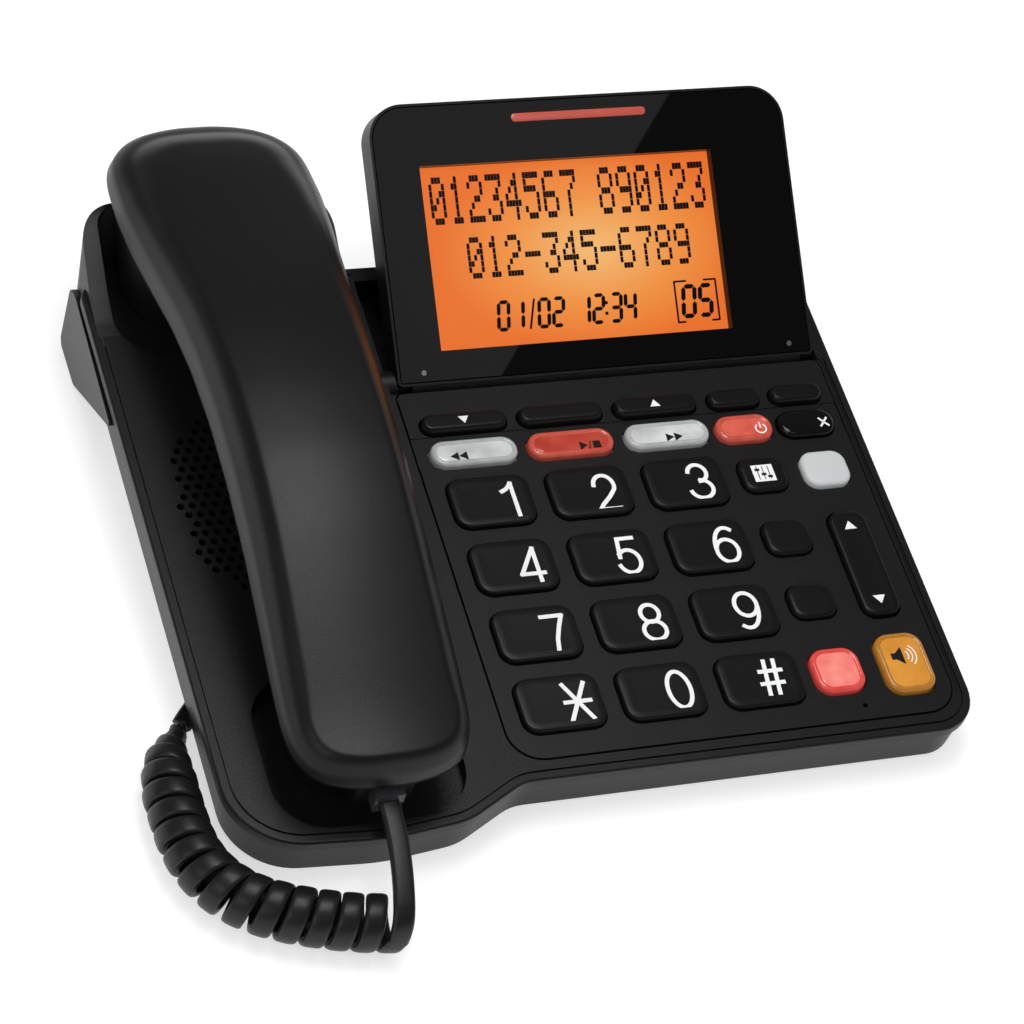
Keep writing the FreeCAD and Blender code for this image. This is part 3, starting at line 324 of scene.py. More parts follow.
# handset cord: one flat cord that runs from plug to plug, with its curls in between
cord = {"width": 5.4, "thickness": 2.6, "squareness": 0.6, "start": 88, "pitch": (6.1, 6), "pitchLength": 100,
        "step": 1.25, "edge": 24, "leadEvery": 4, "overFloor": 0.05,
        # the lead's and the route's points, and the curls' outer radius at each length along the route
        "lead": [(-64.47, -6.9, 22.6), (-64.4, -13.4, 21.4), (-65, -21, 19.8), (-66, -28.6, 17.6),
                 (-67.2, -35.2, 15), (-68, -37.5, 11.4), (-68.3, -37.6, 7.9)],
        "route": [(-68.2, -31.5, 7.4), (-75, -30.4, 7.4), (-84, -27.9, 7.4), (-94.2, -24.1, 7.4),
                  (-102.8, -18.9, 7.4), (-108.8, -11.6, 7.4), (-112, -2.6, 7.4), (-112.6, 7.6, 7.4),
                  (-112.5, 16.8, 7.3), (-111.2, 25, 6), (-108.8, 31.2, 4), (-105.6, 36.4, 2.5),
                  (-101.6, 42, 2.2), (-97.2, 46.8, 2.2), (-93.8, 52.6, 3.2), (-93.2, 58.6, 6.4), (-93.2, 64.6, 9.6),
                  (-93.2, 71.4, 11.3)],
        "taper": [(0, 7.35), (75, 7.35), (84, 6.1), (91, 4), (97, 2.3), (101, 1.3), (400, 1.3)]}


def splineThrough(name, controls, step=0.15):
    # Even points of the NURBS line that these control points bend.
    line = bpy.data.curves.new(name, "CURVE")
    line.dimensions = "3D"
    spline = line.splines.new("NURBS")
    spline.points.add(len(controls) - 1)
    spline.points.foreach_set("co", np.column_stack([controls, np.ones(len(controls))]).ravel())
    spline.order_u = 3
    spline.use_endpoint_u = True
    spline.resolution_u = 32
    holder = addObject(name, line)
    bpy.context.view_layer.update()
    mesh = bpy.data.meshes.new_from_object(holder)
    points = np.empty(len(mesh.vertices) * 3)
    mesh.vertices.foreach_get("co", points)
    bpy.data.objects.remove(holder)
    bpy.data.meshes.remove(mesh)
    points = points.reshape(-1, 3)
    points = points[np.concatenate([[True], np.linalg.norm(np.diff(points, axis=0), axis=1) > 1e-6])]
    along = lengths(points)
    at = np.linspace(0, along[-1], int(along[-1] / step))
    return at, resampled(points, along, at)


def unit(vectors):
    return vectors / np.linalg.norm(vectors, axis=-1, keepdims=True)


def curlyCord(c):
    # A helix about the route's line: its radius falls off where the curls run out, its angle grows by the pitch.
    at, middle = splineThrough("route", c["route"])
    ahead = unit(np.gradient(middle, axis=0))
    up = unit(np.array([0, 0, 1.0]) - ahead[:, 2:] * ahead)
    side = np.cross(ahead, up)
    radius = np.interp(at, *zip(*c["taper"])) - c["thickness"] / 2
    pitch = np.interp(at, [0, c["pitchLength"]], c["pitch"])
    curl = np.where(at < c["taper"][-2][0], 2 * math.pi, 0.0) / pitch
    angle = math.radians(c["start"]) + np.concatenate([[0], np.cumsum(curl)[:-1] * np.diff(at)])
    outward = np.cos(angle)[:, None] * up - np.sin(angle)[:, None] * side
    helix = middle + np.maximum(radius, 0)[:, None] * outward
    lead = splineThrough("lead", c["lead"])[1]
    leadUp = unit(np.cross(unit(np.gradient(lead, axis=0)), [1.0, 0, 0]))
    thinned = slice(None, -1, c["leadEvery"])
    line = np.vstack([lead[thinned], helix])
    outer = np.vstack([leadUp[thinned], outward])
    along = lengths(line)
    even = np.linspace(0, along[-1], int(along[-1] / c["step"]))
    line, outer = resampled(line, along, even), unit(resampled(outer, along, even))
    ahead = unit(np.gradient(line, axis=0))
    outer = unit(outer - (outer * ahead).sum(1, keepdims=True) * ahead)
    flank = np.cross(ahead, outer)
    turn = np.linspace(0, 2 * math.pi, c["edge"], endpoint=False)
    wide = np.sign(np.cos(turn)) * np.abs(np.cos(turn)) ** c["squareness"] * c["width"] / 2
    thick = np.sign(np.sin(turn)) * np.abs(np.sin(turn)) ** c["squareness"] * c["thickness"] / 2
    ring = line[:, None, :] + wide[None, :, None] * flank[:, None, :] + thick[None, :, None] * outer[:, None, :]
    ring[..., 2] = np.maximum(ring[..., 2], c["overFloor"])
    joint = int(np.searchsorted(even, along[len(lead[thinned])]))
    pieces = []
    for name, part, body in (("cordLead", slice(0, joint + 1), None), ("handsetCord", slice(joint, None), "base")):
        pieces.append(addSkin(name, ring[part], rowFrame, "cordVinyl", body, crease=60))
    return pieces, place(line, rowFrame), joint, even / 1000


# the lead is baked into the world and rides no body, and the curls ride the base
(cordLead, handsetCord), cordLine, cordJoint, cordAlong = curlyCord(cord)
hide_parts("handset_cord_lead")
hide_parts("handset_cord_coil", "handset_cord_tail")
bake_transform(cordLead)
print("cord made, mm:", round(cordAlong[-1] * 1000))


# handset's outer shell
handset = {
    # y, half width, seam height
    "edge": [(210.2, 5, 16.2), (209.4, 11.3, 16), (207.8, 16.9, 16), (205, 21.7, 16), (202, 24.6, 16),
             (198.6, 26.7, 16.2), (194.5, 27.9, 16.5), (190, 28.4, 16.8), (178, 28.8, 17.8), (165, 28, 19.3),
             (150, 26.5, 22), (135, 25, 25), (118, 24, 27.4), (100, 23.6, 28.4), (80, 23.5, 27.6),
             (60, 23.5, 24.6), (42, 23.7, 20.6), (26, 24, 17.2), (14, 24, 15.2), (8, 23.5, 14.8),
             (3.5, 22, 14.4), (0, 19.7, 14.2), (-2.2, 16.6, 14), (-3.9, 12, 14), (-5, 5.5, 14)],
    # y, height of the top along the middle
    "crown": [(-8, 22.8), (3, 24.2), (8, 25.1), (14, 26.6), (26, 30), (42, 34.6), (60, 39.3),
              (80, 42.4), (100, 43), (118, 42), (135, 39.8), (150, 37), (165, 34), (178, 31.4),
              (190, 28.9), (198.6, 26.6), (205, 24.6), (215, 21)],
    "bandWidth": [(-5, 2.4), (2, 2.8), (14, 3.9), (60, 4.4), (120, 4.4), (160, 5), (190, 6),
                  (211, 6)],
    "ridgeSoftness": [(-5, 3.2), (8, 3.4), (20, 4.2), (60, 4.2), (120, 4.4), (160, 6), (190, 8.5),
                      (211, 9)],
    # y and half width of the crowned top
    "topWidth": [(-5, 19), (60, 18.5), (100, 18.6), (150, 21.5), (185, 23.5), (215, 23.5)],
    # steepness of the band, where it turns into the slope, the slope's steepness and how soft the turn is
    "bandRise": (3.2, 0.40, 0.60, 0.14),
    "crossFall": 1.5, "wall": 2, "rows": 30, "rowSpacing": 1.7, "spine": (19, 184), "spineSoftness": 5,
    "edgeBlur": 1.6, "crownBlur": 5, "merge": 2e-5}


def softMin(a, b, width):
    # the lower of two heights, rounded where they cross
    width = np.maximum(width, 1e-6)
    blend = np.clip(0.5 + 0.5 * (b - a) / width, 0, 1)
    return b + (a - b) * blend - width * blend * (1 - blend)


def handsetShell(h):
    # Rings from the shell's lower edge to its spine: a steep band, a sloped band up to a soft ridge, a crowned top.
    right = np.array([(w, y, z) for y, w, z in h["edge"]])
    middle = right[:1] * (0, 1, 1)
    edge = blended(np.vstack([middle, right, right[::-1] * (-1, 1, 1)]), h["edgeBlur"])
    edge = 0.5 * (edge + np.roll(edge[::-1], 1, axis=0) * (-1, 1, 1))
    crownLine = blended(np.array(h["crown"]), h["crownBlur"], closed=False)
    y = edge[:, 1]
    low, high = h["spine"]
    soft = h["spineSoftness"]
    spineY = y + soft * np.log1p(np.exp((low - y) / soft)) - soft * np.log1p(np.exp((y - high) / soft))
    spine = np.column_stack([np.zeros(len(edge)), spineY])
    share = (np.linspace(0, 1, h["rows"]) ** h["rowSpacing"])[:, None]
    plan = edge[None, :, :2] + share[..., None] * (spine - edge[:, :2])[None]
    reach = share * np.linalg.norm(spine - edge[:, :2], axis=1)[None, :]
    band = np.interp(y, *zip(*h["bandWidth"]))[None, :]
    softness = np.interp(y, *zip(*h["ridgeSoftness"]))[None, :]
    halfWidth = np.interp(plan[..., 1], *zip(*h["topWidth"]))
    top = np.interp(plan[..., 1], *crownLine.T) - h["crossFall"] * (plan[..., 0] / halfWidth) ** 2
    t = reach / band
    steep, turnAt, slope, softTurn = h["bandRise"]
    rise = softMin(steep * t, turnAt + slope * t, softTurn)
    seam = edge[None, :, 2]
    height = softMin(top, seam + (top - seam) * rise, softness * np.clip(t, 0, 1))
    height[0] = edge[:, 2]
    points = np.concatenate([plan, height[..., None]], axis=-1)
    made = addMesh("handsetShell", place(points, handsetFrame), gridFaces(h["rows"], len(edge), True), "handsetAbs",
                   "handset", crease=80)
    facesOut(made, merge=h["merge"])
    thickness = made.modifiers.new("wall", "SOLIDIFY")
    thickness.thickness = h["wall"] / 1000
    thickness.offset = -1.0
    return made


handsetPiece = handsetShell(handset)
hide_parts("handset_outer_shell")
print("handset made")

# the flange that holds a key under the faceplate: heights of its top and bottom, and its reach
keyFlange = {"top": -2.5, "bottom": -3.5, "reach": 1.0}
dialKeys = {"columns": (-9.3, 18.85, 47), "rows": (86.8, 65, 43.2, 21.4), "size": (23, 16.4, 4.2), "rise": 1.6,
            "names": (("key_1", "key_2", "key_3"), ("key_4", "key_5", "key_6"), ("key_7", "key_8", "key_9"),
                      ("key_star", "key_0", "key_pound"))}
# x, y, width, height, corner radius, rise over the deck, profile and finish
smallKeys = {
    "call_log_button": (-9.8, 113.6, 24.6, 6, 2.9, 2.4, "bar", "keyAbs"),
    "menu_button": (18.2, 113.6, 24.6, 6, 2.9, 2.4, "bar", "keyAbs"),
    "directory_button": (46.3, 113.6, 24.6, 6, 2.9, 2.4, "bar", "keyAbs"),
    "cancel_button": (70, 113.6, 15.6, 6, 2.9, 2.4, "bar", "keyAbs"),
    "redial_button": (88.9, 113.6, 15.6, 6, 2.9, 2.4, "bar", "keyAbs"),
    "repeat_button": (-9.7, 103.4, 24.8, 8.6, 4.2, 1.8, "clear", "clearSilverRim"),
    "play_stop_button": (18.3, 103.4, 24.8, 8.6, 4.2, 1.8, "clear", "clearRedRim"),
    "skip_button": (46.7, 103.4, 24.8, 8.6, 4.2, 1.8, "clear", "clearSilverRim"),
    "answer_on_button": (69.8, 103.2, 16.8, 9, 4.2, 1.8, "clear", "clearRedRim"),
    "delete_button": (88.7, 103.2, 16.8, 9, 4.2, 1.8, "dome", "polishedAbs"),
    "equalizer_button": (70.1, 87, 13.4, 11.4, 3.6, 1.6, "pillow", "keyAbs"),
    "audio_assist_button": (88.9, 87, 13.6, 11.8, 4, 1.8, "pillow", "keyWhite"),
    "speed_dial_button": (70, 65.5, 13.6, 11.4, 3.8, 1.6, "pillow", "keyAbs"),
    "flash_button": (69.8, 44.2, 13.2, 11, 3.8, 1.6, "pillow", "keyAbs"),
    "mute_button": (69.3, 21.4, 14.2, 13.9, 4.6, 1.8, "clear", "clearPinkRim"),
    "speaker_button": (89.1, 21.4, 14.2, 18.8, 4.6, 1.8, "clear", "clearAmberRim"),
}
# inset and depth under the top, from the wall to the middle
keyProfiles = {
    "dial": [(0, 0.75), (0.10, 0.40), (0.35, 0.12), (0.75, 0), (2.6, 0.06), (4.6, 0.10)],
    "bar": [(0, 1.3), (0.15, 0.95), (0.55, 0.25), (0.85, 0.05), (1.2, 0), (2, 0)],
    "dome": [(0, 1.1), (0.12, 0.75), (0.5, 0.30), (1.1, 0.08), (1.9, 0), (2.8, 0)],
    "pillow": [(0, 1), (0.12, 0.65), (0.45, 0.25), (0.95, 0.05), (1.6, 0), (3.2, 0.02)],
    "clear": [(0, 1.1), (0.10, 0.70), (0.40, 0.22), (0.85, 0), (1.25, 0.02), (1.55, 0.22), (1.75, 0.34)],
}
# the coloured layer that shows through a clear cap, slightly crowned
keyPlate = {"narrower": 3.3, "rows": [(0, -0.7), (0, -0.30), (0.5, -0.20), (1.2, -0.13), (2, -0.10)],
            "finish": {"repeat_button": "clearSilver", "play_stop_button": "clearRed", "skip_button": "clearSilver",
                       "answer_on_button": "clearCoral", "mute_button": "clearPink",
                       "speaker_button": "clearAmber"}}
recordSlot = {piece["node"]: piece["material_slot"] for piece in frame["record"]["subparts"]}


def addKeys():
    flange = [(-keyFlange["reach"], keyFlange["bottom"]), (-keyFlange["reach"], keyFlange["top"]),
              (0.0, keyFlange["top"])]
    keys = {node: (x, y, *dialKeys["size"], dialKeys["rise"], "dial", "keyAbs")
            for names, y in zip(dialKeys["names"], dialKeys["rows"]) for node, x in zip(names, dialKeys["columns"])}
    keys.update(smallKeys)
    less = keyPlate["narrower"]
    for node, (x, y, width, height, radius, rise, shape, finish) in keys.items():
        rows = flange + [(inset, rise - depth) for inset, depth in keyProfiles[shape]]
        cap = addSkin(node + "Cap", stackedRects(x, y, width, height, radius, rows), deckFrame, finish,
                      node + "_body", crease=40)
        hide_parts(node)
        if node in keyPlate["finish"]:
            rows = [(inset, rise + level) for inset, level in keyPlate["rows"]]
            rings = stackedRects(x, y, width - less, height - less, radius - less / 2, rows)
            plate = addSkin(node + "Plate", rings, deckFrame, keyPlate["finish"][node], node + "_body", crease=40)


addKeys()

rocker = {"place": (89.1, 54.6, 11.2, 34.6, 3.8), "rise": 1.6,
          "profile": [(0, 0.9), (0.12, 0.5), (0.45, 0.15), (0.95, 0), (2.4, 0.10), (4.2, 0.16)]}


def addRocker(r):
    rows = [(0.0, keyFlange["bottom"])] + [(inset, r["rise"] - depth) for inset, depth in r["profile"]]
    cap = addSkin("rockerCap", stackedRects(*r["place"], rows), deckFrame, "keyAbs", "volume_rocker_body",
                  crease=40)
    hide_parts("volume_rocker")


addRocker(rocker)
print("keys made")


# plain digits and marks: how far the ink stands out, and how deep its plates reach into the key
ink = {"rise": 0.04, "depth": 0.20, "stroke": 1.18, "overlap": 0.42, "stagger": 0.004, "sink": 0.08}


def marks(name, shapes, level, where, finish, body, depth=ink["depth"]):
    # Flat polygons of x, y points, as thin closed plates, all in one piece.
    points, faces = [], []
    for shape in shapes:
        shape = np.array(shape, float)
        area = 0.5 * np.sum(shape[:, 0] * np.roll(shape[:, 1], -1) - shape[:, 1] * np.roll(shape[:, 0], -1))
        if area < 0:
            shape = shape[::-1]
        faces += [[len(points) + i for i in face] for face in cappedFaces(2, len(shape))]
        points += [(x, y, height) for height in (level - depth, level + ink["rise"]) for x, y in shape]
    return addMesh(name, place(points, where), faces, finish, body, smooth=False)


def arc(x, y, width, height, start, end):
    # points on part of an ellipse, in degrees
    turn = np.radians(np.linspace(start, end, max(int(abs(end - start) / 9), 4)))
    return list(zip(x + width * np.cos(turn), y + height * np.sin(turn)))


# x, y, width and height of each character's box on its key, and its strokes in a box from 0 to 1 each way
characters = {
    "key_1": ((-4.6, 86, 3, 11.2),
              [[(0, 0.77), (0.45, 0.83), (0.80, 0.92), (1, 1)], [(1, 1), (1, 0)]]),
    "key_2": ((23, 85.7, 6, 11.2),
              [arc(0.5, 0.70, 0.48, 0.30, 176, -28) + [(0.62, 0.36), (0.18, 0.14), (0, 0)],
               [(0, 0), (1, 0)]]),
    "key_3": ((50.9, 86.3, 6.2, 11.2),
              [arc(0.48, 0.75, 0.43, 0.25, 168, -88), arc(0.46, 0.27, 0.52, 0.27, 84, -168)]),
    "key_4": ((-4.9, 64.2, 6.4, 11.2),
              [[(0.76, 0), (0.76, 1)], [(0.76, 1), (0, 0.28)], [(0, 0.28), (1, 0.28)]]),
    "key_5": ((22.9, 64.4, 6, 11.2),
              [[(0.92, 1), (0.20, 1)], [(0.20, 1), (0.08, 0.46)], arc(0.46, 0.33, 0.52, 0.33, 138, -162)]),
    "key_6": ((51.3, 64.6, 6.2, 11.2), [arc(0.5, 0.33, 0.5, 0.33, 0, 360), arc(0.62, 0.38, 0.62, 0.62, 184, 62)]),
    "key_7": ((-4.4, 42.3, 5.8, 11),
              [[(0, 1), (1, 1)], [(1, 1), (0.72, 0.66), (0.50, 0.34), (0.38, 0)]]),
    "key_8": ((22.9, 42.5, 6.2, 11.2), [arc(0.5, 0.755, 0.41, 0.245, 0, 360), arc(0.5, 0.265, 0.5, 0.265, 0, 360)]),
    "key_9": ((50.4, 43, 6.2, 11.2), [arc(0.5, 0.67, 0.5, 0.33, 0, 360), arc(0.38, 0.62, 0.62, 0.62, 4, -118)]),
    "key_0": ((23.6, 20.9, 6.2, 11.2), [arc(0.5, 0.5, 0.5, 0.5, 0, 360)]),
    "key_pound": ((50, 21.4, 6.6, 10.4),
                  [[(0.20, 0), (0.38, 1)], [(0.62, 0), (0.80, 1)], [(0, 0.32), (0.94, 0.32)],
                   [(0.06, 0.69), (1, 0.69)]]),
    "key_star": ((-4.8, 20.9, 7, 11),
                 [[(0.08, 0), (0.92, 1)], [(0.08, 1), (0.92, 0)], [(0, 0.5), (1, 0.5)]])}


def ribbon(line, width):
    # Outline of a stroke: the line pushed out half a width to each side, and squared off at its ends.
    line = np.array(line, float)
    way = unit(np.gradient(line, axis=0))
    out = np.column_stack([-way[:, 1], way[:, 0]]) * width / 2
    if np.linalg.norm(line[0] - line[-1]) > 1e-3:
        line[0] -= way[0] * width * ink["overlap"]
        line[-1] += way[-1] * width * ink["overlap"]
    return line + out, line - out


def addCharacter(node, box, strokes, level):
    # one thin closed strip for each stroke; crossing strokes are staggered a little in height
    x, y, wide, tall = box
    points, faces = [], []
    for i, stroke in enumerate(strokes):
        line = (np.array(stroke, float) - 0.5) * (wide, tall) + (x, y)
        left, right = ribbon(line, ink["stroke"])
        count, start = len(line), len(points)
        low, top = level - ink["depth"], level + ink["rise"] + ink["stagger"] * i
        rows = [raised(*row) for row in ((left, low), (left, top), (right, top), (right, low))]
        points += np.vstack(rows).tolist()
        faces += (np.array(gridFaces(4, count, False, looped=True)) + start).tolist()
        faces += [[start + k * count for k in range(4)][::-1], [start + (k + 1) * count - 1 for k in range(4)]]
    made = addMesh(node + "Digit", place(points, deckFrame), faces, "whiteInk", node + "_body", smooth=False)
    facesOut(made)


def bar(x0, y0, x1, y1, width):
    # a straight stroke between two points
    way = np.array([x1 - x0, y1 - y0]) / math.hypot(x1 - x0, y1 - y0)
    out = np.array([-way[1], way[0]]) * width / 2
    return [(x0 + out[0], y0 + out[1]), (x0 - out[0], y0 - out[1]), (x1 - out[0], y1 - out[1]),
            (x1 + out[0], y1 + out[1])]


def ringPart(x, y, inner, outer, start, end, steps=14):
    # part of a flat ring, in degrees
    turn = np.radians(np.linspace(start, end, steps))
    out = np.column_stack([x + outer * np.cos(turn), y + outer * np.sin(turn)])
    back = np.column_stack([x + inner * np.cos(turn), y + inner * np.sin(turn)])[::-1]
    return np.vstack([out, back])


# outlines of the marks on each key, the height of the key there, and the ink
keyMarks = {
    "call_log_button": ([[(-11.6, 114.7), (-8.6, 114.7), (-10.1, 112.3)]], 2.4, "whiteInk"),
    "directory_button": ([[(44.3, 112.4), (47.3, 112.4), (45.8, 114.8)]], 2.4, "whiteInk"),
    "repeat_button": ([[(-17, 102), (-14.6, 103.3), (-14.6, 100.7)],
                       [(-14.5, 102), (-12.1, 103.3), (-12.1, 100.7)]], 1.7, "blackInk"),
    "play_stop_button": ([[(20.3, 103.2), (20.3, 100.5), (22.6, 101.8)],
                          [(24.2, 103), (26.4, 103), (26.4, 100.8), (24.2, 100.8)],
                          bar(22.9, 100.5, 23.7, 103.2, 0.3)], 1.7, "blackInk"),
    "skip_button": ([[(45.9, 103.3), (45.9, 100.7), (48.3, 102)],
                     [(48.4, 103.3), (48.4, 100.7), (50.8, 102)]], 1.7, "blackInk"),
    "answer_on_button": ([ringPart(74.4, 102.2, 1.35, 1.75, 125, 415, 24), bar(74.4, 102.4, 74.4, 104.3, 0.4)],
                         1.7, "whiteInk"),
    "delete_button": ([bar(92.3, 100.9, 94.9, 103.9, 0.6), bar(92.3, 103.9, 94.9, 100.9, 0.6)], 1.8, "whiteInk"),
    "equalizer_button": ([[(66.9, 84.2), (73.2, 84.2), (73.2, 89.8), (66.9, 89.8)]], 1.6, "whiteInk"),
    "speaker_button": ([[(85.6, 22.2), (86.9, 22.2), (89, 20.4), (89, 26), (86.9, 24.2), (85.6, 24.2)]],
                       1.7, "blackInk"),
    "volume_rocker": ([[(87.2, 65.7), (90.8, 65.7), (89, 68.4)], [(87.4, 43.3), (91, 43.3), (89.2, 40.6)]],
                      1.52, "whiteInk"),
}
# three sliders drawn on the equalizer key's white square: x of each and y of its knob
sliders = {"knobs": [(68.4, 88.2), (70.05, 86.6), (71.7, 85.7)], "foot": 84.8, "head": 89.3, "track": 0.22,
           "knob": (0.7, 0.8), "level": 1.66, "depth": 0.02}
speakerWaves = {"middle": (88.9, 23.2), "radii": [(1.5, 1.85), (2.6, 2.95), (3.7, 4.05)], "turn": (-50, 50),
                "level": 1.7}


def addMarks():
    for node, (box, strokes) in characters.items():
        addCharacter(node, box, strokes, dialKeys["rise"] - ink["sink"])
    for node, (shapes, level, finish) in keyMarks.items():
        made = marks(node + "Mark", shapes, level, deckFrame, finish, node + "_body")
    s = sliders
    half, thick = s["knob"]
    shapes = [bar(x, s["foot"], x, s["head"], s["track"]) for x, y in s["knobs"]]
    shapes += [bar(x - half, y, x + half, y, thick) for x, y in s["knobs"]]
    made = marks("equalizerSliders", shapes, s["level"], deckFrame, "blackInk", "equalizer_button_body",
                 depth=s["depth"])
    w = speakerWaves
    shapes = [ringPart(*w["middle"], inner, outer, *w["turn"]) for inner, outer in w["radii"]]
    made = marks("speakerWaves", shapes, w["level"], deckFrame, "whiteInk", "speaker_button_body")


addMarks()
print("digits made")

# a thin wall inside the hood's round right corner, where its leaning rear wall would let light through
hoodCorner = {"right": -31, "rear": 192, "radius": 11, "top": 12, "fall": 19, "footLean": (-1.2, 8.5),
              "footTighter": 1, "inset": 0.05, "turn": (30, 74),
              # height and thickness
              "levels": [(-4.8, 1.2), (4, 1.2), (9.3, 0.3)]}


def addHoodCorner(h):
    # Each level holds an arc band as far below the hood's own rounding as the inset says.
    rings = []
    for level, thickness in h["levels"]:
        share = (h["top"] - level) / h["fall"]
        radius = h["radius"] - share * h["footTighter"]
        x = h["right"] - share * h["footLean"][0] - radius
        y = h["rear"] - share * h["footLean"][1] - radius
        outer = radius - h["inset"]
        rings.append(raised(ringPart(x, y, outer - thickness, outer, *h["turn"]), level))
    made = addSkin("hoodCorner", np.array(rings), deckFrame, "mouldedAbs", "base")


addHoodCorner(hoodCorner)
print("hood corner closed")

# display
display = {"left": -24.3, "right": 100, "height": 78, "topRadius": 10, "footRadius": 1.5,
           "leastRadius": 0.2, "lip": 0.8,
           "bevel": 0.25, "lens": 1.5,
           # left, right, lower and upper edge of the window and of the light bar
           "window": (-10.9, 76.2, 9.1, 60.4), "windowRadius": 0.3, "windowGap": 0.01, "windowSink": 0.02,
           "lightBar": (17.5, 57.9, 71.3, 73.8), "lightRadius": 1.2,
           # inset and height of the light bar's skin
           "lightRows": [(0, -1.2), (0, -0.05), (0.25, 0.10), (0.7, 0.16)],
           "dots": [(-16.6, 3.4), (92.9, 3.5)], "dotRadii": (0.01, 0.75),
           "panelDepth": 2.9, "panelThickness": 1.2, "panelMargin": 2.2}


def boxOf(edges):
    # middle and size of a box given by its left, right, lower and upper edge
    left, right, low, high = edges
    return (left + right) / 2, (low + high) / 2, right - left, high - low


def displayOutline(d, inset):
    # the lens has small corners at the foot and large ones at the top
    foot, top = max(d["footRadius"] - inset, d["leastRadius"]), d["topRadius"] - inset
    edges = (d["left"] + inset, d["right"] - inset, inset, d["height"] - inset)
    return roundedRect(*boxOf(edges), [foot, top, top, foot])


def addDisplay(d):
    x, y, width, height = boxOf(d["window"])
    hole = roundedRect(x, y, width, height, d["windowRadius"])
    outline, bevelled = displayOutline(d, d["lip"]), displayOutline(d, d["lip"] + d["bevel"])
    # a closed frame: rings up the outside, over the bevel, in to the window and down through it
    rings = np.array([raised(outline, -d["lens"]), raised(outline, -d["bevel"]), raised(bevelled, 0),
                      raised(hole, 0), raised(hole, -d["lens"])])
    lens = addMesh("lensBorder", place(rings, displayFrame), gridFaces(*rings.shape[:2], True, looped=True),
                   "printedAcrylic", "display", crease=30)
    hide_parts("display_lens")
    gap = 2 * d["windowGap"]
    pane = roundedRect(x, y, width - gap, height - gap, d["windowRadius"])
    rings = np.array([raised(pane, -d["lens"]), raised(pane, -d["windowSink"])])
    window = addSkin("lensWindow", rings, displayFrame, "clearAcrylic", "display", smooth=False)
    light = addSkin("inUseBar", stackedRects(*boxOf(d["lightBar"]), d["lightRadius"], d["lightRows"]), displayFrame,
                    "lightBar", "display")
    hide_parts("in_use_light")
    discs = [ringPart(x, y, *d["dotRadii"], 0, 350, 24) for x, y in d["dots"]]
    dots = marks("displayDots", discs, 0.0, displayFrame, "platedSteel", "display")
    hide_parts("display_screws")


# the amber ramp from the middle to the rim, the middle's place in the panel's own map, and the pixels' grain
crystal = {"ramp": [(0.0, "#ffc67c"), (0.55, "#fb9a48"), (1.0, "#f4762c")], "middle": (0.56, 0.5), "reach": 0.5,
           "base": "#4a2a12", "glow": 1.0, "specular": 0.2, "ior": 1.5, "grain": 900.0, "grainDetail": 2.0,
           "rough": (0.16, 0.24)}


def litPanel(name, c):
    # Liquid crystal panel over an amber backlight, brighter towards its middle, from the piece's own UV map.
    made, tree = newMaterial(name)
    uv = addNode(tree, "UVMap", {"uv_map": "panel"})
    scale = 1 / c["reach"]
    centred = addNode(tree, "Mapping", {"Location": (-c["middle"][0] * scale, -c["middle"][1] * scale, 0),
                                                  "Scale": (scale, scale, 1.0)}, {"Vector": uv})
    far = addNode(tree, "VectorMath", {"operation": "LENGTH"}, {0: centred})
    ramp = addNode(tree, "ValToRGB", {}, {"Fac": far.outputs["Value"]})
    stops = ramp.color_ramp.elements
    stops.new(c["ramp"][1][0])
    for stop, (position, colour) in zip(stops, c["ramp"]):
        stop.position, stop.color = position, linear(colour)
    pixels = addNode(tree, "TexNoise", {"Scale": c["grain"], "Detail": c["grainDetail"]},
                     {"Vector": addNode(tree, "TexCoord").outputs["Object"]})
    rough = addNode(tree, "MapRange", {"To Min": c["rough"][0], "To Max": c["rough"][1]},
                    {"Value": pixels})
    shader = addNode(tree, "BsdfPrincipled",
                     {"IOR": c["ior"], "Emission Strength": c["glow"], "Base Color": linear(c["base"]),
                      "Specular IOR Level": c["specular"]},
                     {"Emission Color": ramp, "Roughness": rough})
    addOutput(tree, shader)
    return made


def addPanel(d):
    margin = np.array([-1, 1, -1, 1]) * d["panelMargin"]
    left, right, low, high = np.array(d["window"]) + margin
    corners = np.array([(left, low), (right, low), (right, high), (left, high)])
    points = np.vstack([raised(corners, -d["panelDepth"] - d["panelThickness"]), raised(corners, -d["panelDepth"])])
    faces = [[3, 2, 1, 0], [4, 5, 6, 7], [0, 1, 5, 4], [1, 2, 6, 5], [2, 3, 7, 6], [3, 0, 4, 7]]
    materials["amberCrystal"] = litPanel("amberCrystal", crystal)
    panel = addMesh("lcdPanel", place(points, displayFrame), faces, "amberCrystal", "display", smooth=False)
    uv = panel.data.uv_layers.new(name="panel")
    index = np.empty(len(panel.data.loops), int)
    panel.data.loops.foreach_get("vertex_index", index)
    flat = points[index, :2]
    uv.data.foreach_set("uv", ((flat - (left, low)) / (right - left, high - low)).ravel())
    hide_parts("lcd_panel")


